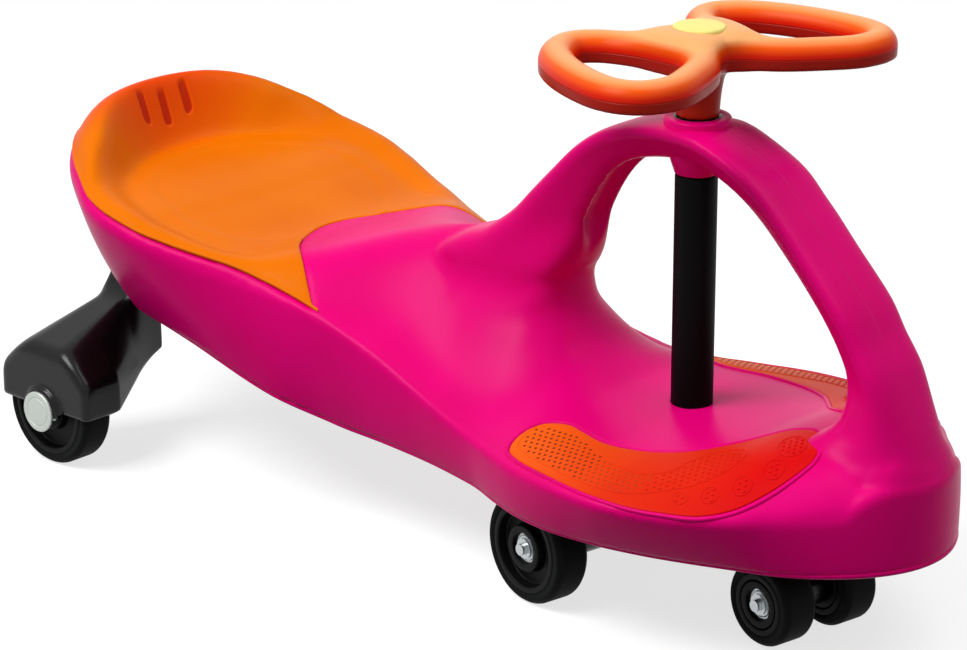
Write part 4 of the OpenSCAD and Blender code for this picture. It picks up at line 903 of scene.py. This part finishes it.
def pad_fade(tree, place, colour):
    """Amber at the heel that runs to red at the toes."""
    heel, sole, toe = 0.105, 0.215, 0.30
    x = node(tree, "ShaderNodeSeparateXYZ", Vector=place).outputs["X"]
    far = node(tree, "ShaderNodeMapRange", Value=x, From_Min=heel, From_Max=sole)
    warm = node(tree, "ShaderNodeMix", RGBA, in0=far.outputs[0], in6=srgb("#f06410"), in7=colour)
    toes = node(tree, "ShaderNodeMapRange", Value=x, From_Min=sole, From_Max=toe)
    return node(tree, "ShaderNodeMix", RGBA, in0=toes.outputs[0], in6=warm.outputs[2],
                in7=srgb("#d00a0c")).outputs[2]


PARTING_Z = (LOOP_Z + LOOP_SKIRT) * MM


def wheel_tone_and_painted_light(tree, place, colour):
    """Steering wheel: a painted highlight of pale orange on top, painted shade in red towards the parting
    line, and a dark red skirt and neck, partly their own colour and partly painted shade.
    """
    z = node(tree, "ShaderNodeSeparateXYZ", Vector=place).outputs["Z"]
    # The pale top is a painted highlight, and the red band above the parting line is painted shade
    above, rise, pale = (node(tree, "ShaderNodeMapRange", Value=z, From_Min=PARTING_Z + low,
                              From_Max=PARTING_Z + high).outputs[0]
                         for low, high in ((-0.0003, 0.0003), (0.0025, 0.0088), (0.008, 0.0125)))
    red = node(tree, "ShaderNodeMix", RGBA, in0=rise, in6=srgb("#d8200a"), in7=colour)
    top = node(tree, "ShaderNodeMix", RGBA, in0=pale, in6=red.outputs[2], in7=srgb("#e9a468"))
    # Below the parting line: dark red skirt and neck, partly own colour and partly painted shade
    neck = node(tree, "ShaderNodeMapRange", Value=z, From_Min=0.340, From_Max=0.366)
    low = node(tree, "ShaderNodeMix", RGBA, in0=neck.outputs[0], in6=srgb("#a8220c"), in7=srgb("#a01a0e"))
    return node(tree, "ShaderNodeMix", RGBA, in0=above, in6=low.outputs[2], in7=top.outputs[2]).outputs[2]


def wheel_line(tree, place, height):
    """Fine parting groove where the wheel's two halves meet; its depth is in heights of the grain."""
    floor_half, edge_half, depth = 0.0002, 0.0006, 10.0
    z = node(tree, "ShaderNodeSeparateXYZ", Vector=place).outputs["Z"]
    off = node(tree, "ShaderNodeMath", {"operation": "SUBTRACT"}, in0=z, in1=PARTING_Z)
    size = node(tree, "ShaderNodeMath", {"operation": "ABSOLUTE"}, in0=off.outputs[0])
    line = node(tree, "ShaderNodeMapRange", Value=size.outputs[0], From_Min=floor_half, From_Max=edge_half,
                To_Min=-depth, To_Max=0.0)
    return node(tree, "ShaderNodeMath", {"operation": "ADD"}, in0=height, in1=line.outputs[0]).outputs[0]


def slot_and_wall_painted_shade(tree, place, colour):
    """Painted shade: deeper orange up the seat's back wall, and red-orange inside its slots."""
    wall_back, wall_front = -0.352, -0.318
    sunk = node(tree, "ShaderNodeAttribute", {"attribute_name": "sunk"})
    x = node(tree, "ShaderNodeSeparateXYZ", Vector=place).outputs["X"]
    wall = node(tree, "ShaderNodeMapRange", Value=x, From_Min=wall_back, From_Max=wall_front, To_Min=1.0,
                To_Max=0.0)
    deep = node(tree, "ShaderNodeMix", RGBA, in0=wall.outputs[0], in6=colour, in7=srgb("#e04405"))
    return node(tree, "ShaderNodeMix", RGBA, in0=sunk.outputs["Fac"], in6=deep.outputs[2],
                in7=srgb("#b82c08")).outputs[2]


# Injection-moulded polypropylene with a satin skin: a deep, even magenta with broad, soft highlights
magenta = moulded("moulded_polypropylene_magenta", "#e20076", "#d8006d", rough=0.34, grain=0.0006,
                  depth=0.00003, level=0.05, bend=arch_seam)
# The same plastic in orange: satin, with painted shade in deeper orange up the back wall and in red-orange in
# the slots
orange = moulded("moulded_polypropylene_orange", "#de6f00", "#d86900", rough=0.36, grain=0.0006,
                 depth=0.00003, level=0.05, mark=slot_and_wall_painted_shade)
# Moulded polypropylene of the foot pads, textured for grip: a duller sheen, amber that runs to red
pad_red = moulded("textured_polypropylene_red_orange", "#d6300a", "#d02a0a", rough=0.42, grain=0.0005,
                  depth=0.00003, level=0.06, mark=pad_fade)
# Dimples at the heel, drawn as low domes: their dark brown is painted shade, which reads as brown specks
dimple_painted_shade = moulded("moulded_polypropylene_dimple", "#8a3008", "#7c2a08", rough=0.6, grain=0.0005,
                       depth=0.00002, level=0.1)
# Low dots moulded on the sole: painted shade makes them a little darker than the pad round them
dot_painted_shade = moulded("moulded_polypropylene_dot", "#bc3c0c", "#b2360b", rough=0.5, grain=0.0005,
                  depth=0.00002, level=0.1)
# Polypropylene moulded in two halves: satin, with a painted highlight pale on top, painted shade red towards
# the parting line, and below it a darker red that is partly its own colour and partly painted shade
wheel_orange = moulded("moulded_polypropylene_wheel_orange", "#ee6010", "#e8560c", rough=0.32, grain=0.0006,
                       depth=0.00003, level=0.08, mark=wheel_tone_and_painted_light, bend=wheel_line)
# Moulded polypropylene of the cap: a flat, milky yellow with almost no highlight
cap_yellow = moulded("moulded_polypropylene_pale_yellow", "#e2d87e", "#ddd274", rough=0.38, grain=0.0006,
                     depth=0.00002, level=0.1)
# Glossy moulded ABS of the legs and the carrier: near black, with grey light along its bevels
black = moulded("glossy_abs_black", "#070707", "#050506", rough=0.22, grain=0.0007, depth=0.00003, level=0.24)
# Extruded plastic tube round the column: near black, dull and even
sleeve_black = moulded("extruded_plastic_black", "#060606", "#040405", rough=0.5, grain=0.0008,
                       depth=0.00003, level=0.05)
# Moulded nylon of the wheel cores: black with a low sheen that shows their rims
core_black = moulded("moulded_nylon_black", "#0c0c0d", "#080809", rough=0.42, grain=0.0008, depth=0.00004,
                     level=0.08)
# Moulded rubber of the tyres: dark grey and dull, with a grain that can be seen
rubber = moulded("moulded_rubber_black", "#141515", "#0f1010", rough=0.62, grain=0.0009, depth=0.00008,
                 level=0.05)
# Natural nylon of the lower bush: off-white and waxy
nylon = moulded("moulded_nylon_white", "#dadad4", "#d0d0ca", rough=0.5, grain=0.0006, depth=0.00003,
                level=0.3)
# Zinc-plated turned steel of axles, nuts, screws and bearings: bright, with slightly blurred reflections
steel = metal("zinc_plated_steel", "#c6cacc", "#a9aeb0", rough=0.28, metallic=1.0)
# Satin metallic finish of the rear axle caps: pale grey with a soft, wide reflection
satin = metal("satin_metallic_cap", "#ccd2cc", "#bcc2bc", rough=0.42, metallic=0.55)


# Placing of pieces

def place_piece(name, shape, material, body, cad_node):
    """Piece from points and faces that rides on a body and stands for a CAD node."""
    piece = new_piece(name, *shape)
    piece.data.materials.append(material)
    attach(piece, body)
    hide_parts(cad_node)
    return piece


def steered(x, y, z):
    """Place on the steering, with the turn that it has at rest."""
    return Matrix.Rotation(REST_STEER, 4, "Z") @ Matrix.Translation((x, y, z))


SIDES = ((1, "left"), (-1, "right"))

# Body piece

# Box and step of the grid that the body is drawn on
BODY_LOW, BODY_HIGH, BODY_GRID, QUICK_GRID = (-560, -152, 66), (212, 152, 336), 3.3, 5


def head_boss():
    """Collar and conical boss at the arch's head, round the column: radius, and height from the head."""
    profile = [(COLUMN_HOLE, -38.8), (14.6, -38.8), (18.5, -27), (20, -18), (22.5, -10), (22.5, 0),
               (COLUMN_HOLE, 0)]
    return lathe(rounded([(r, HEAD_H + h) for r, h in profile], [0, 1.2, 3, 4, 3, 1.8, 0]))


def pad_rim(side):
    """Rolled edge of the body round a foot pad."""
    gap, sink, radius = 1.6, 0.9, 1.5
    return tube(on_pad(pad_line + outward(pad_line) * gap, -sink) * [1, side, 1], radius)


def rolled_edge():
    """Rolled lower edge of the skirt."""
    inset, lift, radius = 2.1, 1.9, 2.5
    s = (1 - np.cos(np.linspace(0, math.pi, 300))) / 2
    left = np.stack([s * LENGTH - TAIL, HALF_W * curve(SKIRT_W, s) * end_round(s)], 1)
    plan = np.concatenate([left * [1, -1], left[-2:0:-1]])
    low = SEAT_H * curve(SKIRT_Z, along(plan[:, 0])) + lift
    return tube(np.column_stack([plan - inset * outward(plan), low]), radius, 10)


body_net = net(body_field, BODY_LOW, BODY_HIGH, BODY_GRID, 5, body_blend)
body_parts = [body_net, head_boss(), pad_rim(1), pad_rim(-1), rolled_edge()]
place_piece("moulded_body", join(body_parts), magenta, "chassis", "body_shell")


# Seat piece

def seat_shell():
    """Seat insert, with closer points round its slots."""
    coarse = dots_in((-552, -140), (-250, 140), 3.4)
    fine = dots_in((SLOT_X - 18, -32), (SLOT_X + 18, 32), 0.9)
    near = slot_gap(fine[:, 0], fine[:, 1]) < 3.4
    away = slot_gap(coarse[:, 0], coarse[:, 1]) > 3.8
    edge_roll, thickness = 1.4, 3.2
    return inlay(seat_outline(), np.concatenate([coarse[away], fine[near]]), seat_top, edge_roll, thickness)


seat = place_piece("seat_cushion_shell", seat_shell(), orange, "chassis", "seat_insert")
seat_points = np.array([v.co for v in seat.data.vertices]) / MM
# Share of each point that lies in a slot, where the seat's material paints shade
sunk = step((0.2 - slot_gap(seat_points[:, 0] - AXIS_X, seat_points[:, 1])) / 0.8)
seat.data.attributes.new("sunk", "FLOAT", "POINT").data.foreach_set("value", sunk.astype(np.float32))


# Foot pad pieces

def pad_skin(side):
    """Foot pad with beads round its sole and its toes. The right one mirrors the left one."""
    edge_roll, thickness = 1.2, 2.6
    skin = inlay(pad_line, dots_in((-70, 10), (150, 145), 3.2), pad_top, edge_roll, thickness)
    beads = [tube(on_pad(sole_line, 0.0), 0.55)] + [tube(on_pad(toe_line(toe), 0.0), 0.5) for toe in TOES]
    points, faces = join([skin] + beads)
    if side < 0:
        return points * [1, -1, 1], [f[::-1] for f in faces]
    return points, faces


for side, word in SIDES:
    place_piece("foot_pad_%s_skin" % word, pad_skin(side), pad_red, "chassis",
                "foot_pad_" + word)


def dot_tree(name, height, material):
    """Geometry nodes that set a low dome on each point, along the point's own normal."""
    tree = bpy.data.node_groups.new(name, "GeometryNodeTree")
    tree.interface.new_socket("Geometry", in_out="INPUT", socket_type="NodeSocketGeometry")
    size = tree.interface.new_socket("Dot radius", in_out="INPUT", socket_type="NodeSocketFloat")
    tree.interface.new_socket("Geometry", in_out="OUTPUT", socket_type="NodeSocketGeometry")
    start = node(tree, "NodeGroupInput")
    dome = node(tree, "GeometryNodeMeshUVSphere", Segments=10, Rings=6, Radius=1.0)
    low = node(tree, "GeometryNodeTransform", Geometry=dome.outputs[0], Scale=(1, 1, height))
    normal = node(tree, "GeometryNodeInputNamedAttribute", {"data_type": "FLOAT_VECTOR"}, Name="stand")
    turn = node(tree, "FunctionNodeAlignRotationToVector", {"axis": "Z"}, Vector=normal.outputs[0])
    set_out = node(tree, "GeometryNodeInstanceOnPoints", Points=start.outputs[0], Instance=low.outputs[0],
                   Rotation=turn.outputs[0], Scale=start.outputs["Dot radius"])
    real = node(tree, "GeometryNodeRealizeInstances", Geometry=set_out.outputs[0])
    shade = node(tree, "GeometryNodeSetShadeSmooth", Geometry=real.outputs[0])
    done = node(tree, "GeometryNodeSetMaterial", Geometry=shade.outputs[0], Material=material)
    node(tree, "NodeGroupOutput", in0=done.outputs[0])
    return tree, size.identifier


def dotted(name, plan, radius, height, material):
    """Dots on both pads at places in plan, as one plain mesh. height is a share of the radius."""
    points = on_pad(plan, PAD_LIFT)
    e = 0.5
    x, y = plan[:, 0], plan[:, 1]
    stand = np.column_stack([top_z(x - e, y) - top_z(x + e, y), top_z(x, y - e) - top_z(x, y + e),
                             np.full(len(x), 2 * e)])
    stand /= np.linalg.norm(stand, axis=1)[:, None]
    both = np.concatenate([points, points * [1, -1, 1]])
    up = np.concatenate([stand, stand * [1, -1, 1]]).astype(np.float32)
    seed = new_piece(name + "_places", both, [])
    seed.data.attributes.new("stand", "FLOAT_VECTOR", "POINT").data.foreach_set("vector", up.ravel())
    tree, key = dot_tree(name + "_tree", height, material)
    modifier = seed.modifiers.new("dots", "NODES")
    modifier.node_group = tree
    modifier[key] = radius * MM
    bpy.context.view_layer.update()
    mesh = bpy.data.meshes.new_from_object(seed.evaluated_get(bpy.context.evaluated_depsgraph_get()))
    bpy.data.objects.remove(seed)
    mesh.name = name
    piece = bpy.data.objects.new(name, mesh)
    bpy.context.scene.collection.objects.link(piece)
    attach(piece, "chassis")


# Heel dimples and sole dots, both darkened with painted shade, then bumps under the ball and in the toes
DOT_PITCH, TOE_PITCH, HEEL_END, BALL_START, TOE_REACH = 4.9, 4.4, 12, 58, 16
sole_dots = dots_in((-70, 60), (115, 140), DOT_PITCH)
sole_dots = sole_dots[inside_gap(sole_dots, sole_line) > 1.6]
heel, ball = sole_dots[:, 0] < HEEL_END, sole_dots[:, 0] > BALL_START
toe_dots = []
for toe in TOES:
    middle = np.array(toe[:2]) * HALF_W
    some = dots_in(middle - TOE_REACH, middle + TOE_REACH, TOE_PITCH)
    toe_dots.append(some[inside_gap(some, toe_line(toe)) > 1.4])
dotted("pad_heel_dimples", sole_dots[heel], 1.1, 0.16, dimple_painted_shade)
dotted("pad_sole_dots", sole_dots[~heel & ~ball], 1.1, 0.3, dot_painted_shade)
dotted("pad_ball_bumps", np.concatenate([sole_dots[ball]] + toe_dots), 1.2, 0.6, pad_red)


# Steering wheel and cap

WHEEL_GRID = 1.7
wheel_net = net(wheel_field, (-84, -130, NECK_BOTTOM - 3), (84, 130, HUB_TOP + 8), WHEEL_GRID)
place_piece("steering_wheel_shell", moved(wheel_net, steered(0, 0, 0)), wheel_orange, "steering",
            "steering_wheel")
cap = rounded([(0, HUB_TOP - 3), (15, HUB_TOP - 3), (15, HUB_TOP), (17.8, HUB_TOP), (17.5, HUB_TOP + 5.6),
               (0, HUB_TOP + 6)], [0, 0, 0, 0.8, 1.8, 0])
place_piece("hub_cap_disc", moved(lathe(cap), steered(0, 0, 0)), cap_yellow, "steering",
            "hub_cap")


# Column sleeve and the ring at the head

SLEEVE_R, SLEEVE_BORE, SLEEVE_LOW, SLEEVE_HIGH = 14.25, 11.05, DECK_H - 2.5, HEAD_H - 39.3
RING_R, RING_LOW, RING_TOP = 16, HEAD_H - 2, HEAD_H + 0.3
sleeve = rounded([(SLEEVE_BORE, SLEEVE_LOW), (SLEEVE_R, SLEEVE_LOW), (SLEEVE_R, SLEEVE_HIGH),
                  (SLEEVE_BORE, SLEEVE_HIGH)], [0, 1.6, 1.6, 0])
place_piece("column_sleeve_tube", lathe(sleeve), sleeve_black, "chassis", "column_sleeve")
ring = rounded([(SHAFT_BORE, SLEEVE_HIGH - 6), (11, SLEEVE_HIGH - 6), (11, RING_LOW), (RING_R, RING_LOW),
                (RING_R, RING_TOP), (SHAFT_BORE, RING_TOP)], [0, 0.8, 0, 0, 0.9, 0])
place_piece("head_ring", lathe(ring), black, "chassis", "upper_bush")


# Rear legs and their caps

LEG_GRID = 1.8
leg_points, leg_faces = net(leg_field, (-54, 8, 40), (54, 170, 161), LEG_GRID)
disc = lathe(rounded([(0, 0), (15.2, 0), (15.2, 2.3), (11.6, 2.3), (11.2, 1.9), (10.4, 1.9), (10, 2.3),
                      (0, 2.3)], [0, 0.4, 0.9, 0.2, 0, 0, 0.2, 0]), 72)
for side, word in SIDES:
    leg = (leg_points * [1, side, 1] + [REAR_X, 0, 0], leg_faces if side > 0 else leg_faces[:, ::-1])
    place_piece("rear_leg_%s_hood" % word, leg, black, "chassis", "rear_leg_" + word)
    outside = Matrix.Translation((REAR_X, side * (HOOD_OUT + BOSS_OUT), REAR_Z))
    turn = outside @ Matrix.Rotation(math.radians(-90 * side), 4, "X")
    place_piece("axle_cap_" + word, moved(disc, turn), satin, "chassis", "rear_axle_cap_" + word)


# Wheels

ON_AXLE = Matrix.Rotation(math.radians(-90), 4, "X")
# Radius and width of each kind of wheel, and the places of the front ones on the steering
REAR_R, REAR_W, MAIN_R, MAIN_W, SAFETY_R, SAFETY_W = 42.5, 26, 39, 26, 29, 27
MAIN_X, MAIN_Y, MAIN_Z, SAFETY_X, SAFETY_Y, SAFETY_Z = -40, 99.5, 39, 114, 27, 32.5
TYRE_DEEP, BEARING_IN = 8, 6.5


def wheel(kind, word, r, w, place):
    """Core, tyre and two bearings of a wheel, turned about its axle."""
    name = "%s_%s" % (kind, word)
    body = name + "_wheel"
    h, c = w / 2, r - TYRE_DEEP
    core = both_halves([(6, 10 - h), (11.05, 10 - h), (11.05, -h), (16, -h), (16.8, 7 - h), (c - 4.8, 7 - h),
                        (c - 4, -h), (c, -h)], [0, 0, 0.5, 0.9, 1.2, 1.2, 0.9, 0.6], 3)
    tyre = both_halves([(c + 0.05, 0.4 - h), (r - 2.6, -h), (r, 3.4 - h)], [0, 2.2, 4], 4)
    race = both_halves([(4.05, -3.5), (5.9, -3.5), (6.0, -2.9), (9.0, -2.9), (9.1, -3.5), (11, -3.5)],
                       [0.3, 0.2, 0, 0, 0.2, 0.4], 2)
    points, faces = lathe(race, 48)
    pair = join([(points + [0, 0, end * (h - BEARING_IN)], faces) for end in (1, -1)])
    turn = place @ ON_AXLE
    place_piece(name + "_core_turned", moved(lathe(core, 80), turn), core_black, body,
                name + "_core")
    place_piece(name + "_tyre_turned", moved(lathe(tyre, 96), turn), rubber, body,
                name + "_tyre")
    place_piece(name + "_bearing_rings", moved(pair, turn), steel, body, name + "_bearings")


for side, word in SIDES:
    wheel("rear", word, REAR_R, REAR_W, Matrix.Translation((REAR_X, side * REAR_Y, REAR_Z)))
    wheel("main", word, MAIN_R, MAIN_W, steered(MAIN_X, side * MAIN_Y, MAIN_Z))
    wheel("safety", word, SAFETY_R, SAFETY_W, steered(SAFETY_X, side * SAFETY_Y, SAFETY_Z))

# CAD nodes that stay in view take a finish of their own: steel, apart from two
stay = {"wheel_carrier": black, "lower_bush": nylon}
for name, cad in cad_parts.items():
    if not cad.hide_render:
        cad.data.materials.clear()
        cad.data.materials.append(stay.get(name, steel))


# Studio

scene = bpy.context.scene
WHITE = (1, 1, 1, 1)
FLOOR_HALF = 1


def seen_ray(tree):
    """1 on rays that show the backdrop: from the camera, off shiny surfaces and through clear ones."""
    path = node(tree, "ShaderNodeLightPath").outputs
    some = node(tree, "ShaderNodeMath", {"operation": "MAXIMUM"}, in0=path["Is Camera Ray"],
                in1=path["Is Glossy Ray"])
    return node(tree, "ShaderNodeMath", {"operation": "MAXIMUM"}, in0=some.outputs[0],
                in1=path["Is Transmission Ray"]).outputs[0]


def white_paper():
    """Matt paper that the camera sees white, with a soft shadow, and that throws little light at the car."""
    paper = bpy.data.materials.new("white_paper")
    paper.use_nodes = True
    tree = paper.node_tree
    shader = tree.nodes["Principled BSDF"]
    tone = node(tree, "ShaderNodeMapRange", Value=seen_ray(tree), To_Min=0.15, To_Max=0.4)
    tree.links.new(tone.outputs[0], shader.inputs["Base Color"])
    lift = node(tree, "ShaderNodeMapRange", Value=seen_ray(tree), To_Min=0.0, To_Max=0.72)
    tree.links.new(lift.outputs[0], shader.inputs["Emission Strength"])
    shader.inputs["Emission Color"].default_value = WHITE
    shader.inputs["Roughness"].default_value = 0.9
    shader.inputs["Specular IOR Level"].default_value = 0.0
    return paper


floor_mesh = bpy.data.meshes.new("floor")
corners = [(x * FLOOR_HALF, y * FLOOR_HALF, 0) for x, y in ((-1, -1), (1, -1), (1, 1), (-1, 1))]
floor_mesh.from_pydata(corners, [], [(0, 1, 2, 3)])
floor_mesh.materials.append(white_paper())
floor = bpy.data.objects.new("floor", floor_mesh)
scene.collection.objects.link(floor)

# World: plain soft light, and white where it is seen
world = bpy.data.worlds.new("studio")
scene.world = world
world.use_nodes = True
backdrop = world.node_tree.nodes["Background"]
backdrop.inputs["Color"].default_value = WHITE
glow = node(world.node_tree, "ShaderNodeMapRange", Value=seen_ray(world.node_tree), To_Min=0.34, To_Max=1.0)
world.node_tree.links.new(glow.outputs[0], backdrop.inputs["Strength"])


def soft_light(name, place, size, power):
    """Rectangular lamp that faces the car."""
    light = bpy.data.lights.new(name, "AREA")
    light.shape = "RECTANGLE"
    light.size, light.size_y = size
    light.energy = power
    lamp = bpy.data.objects.new(name, light)
    lamp.location = place
    lamp.rotation_mode = "QUATERNION"
    lamp.rotation_quaternion = (Vector((0, 0, 0.1)) - Vector(place)).to_track_quat("-Z", "Y")
    scene.collection.objects.link(lamp)


soft_light("key", (-0.6, -1.6, 2.4), (1.6, 1.2), 70)
soft_light("fill", (1.0, 0.5, 2.3), (1.4, 1.4), 19)

# Camera at the photograph's viewing angle
AZIMUTH, ELEVATION, DISTANCE, LENS = math.radians(43.03), math.radians(19.69), 2.5129, 134.37
TARGET = Vector((0.00254, -0.01879, 0.14718))
camera = bpy.data.cameras.new("camera")
camera.lens, camera.sensor_width = LENS, 36
camera.clip_start, camera.clip_end = 0.05, 60
eye = bpy.data.objects.new("camera", camera)
back = Vector((math.sin(AZIMUTH) * math.cos(ELEVATION), -math.cos(AZIMUTH) * math.cos(ELEVATION),
               math.sin(ELEVATION)))
eye.location = TARGET + back * DISTANCE
eye.rotation_mode = "QUATERNION"
eye.rotation_quaternion = (-back).to_track_quat("-Z", "Y")
scene.collection.objects.link(eye)
scene.camera = eye
scene.view_settings.view_transform = "Standard"
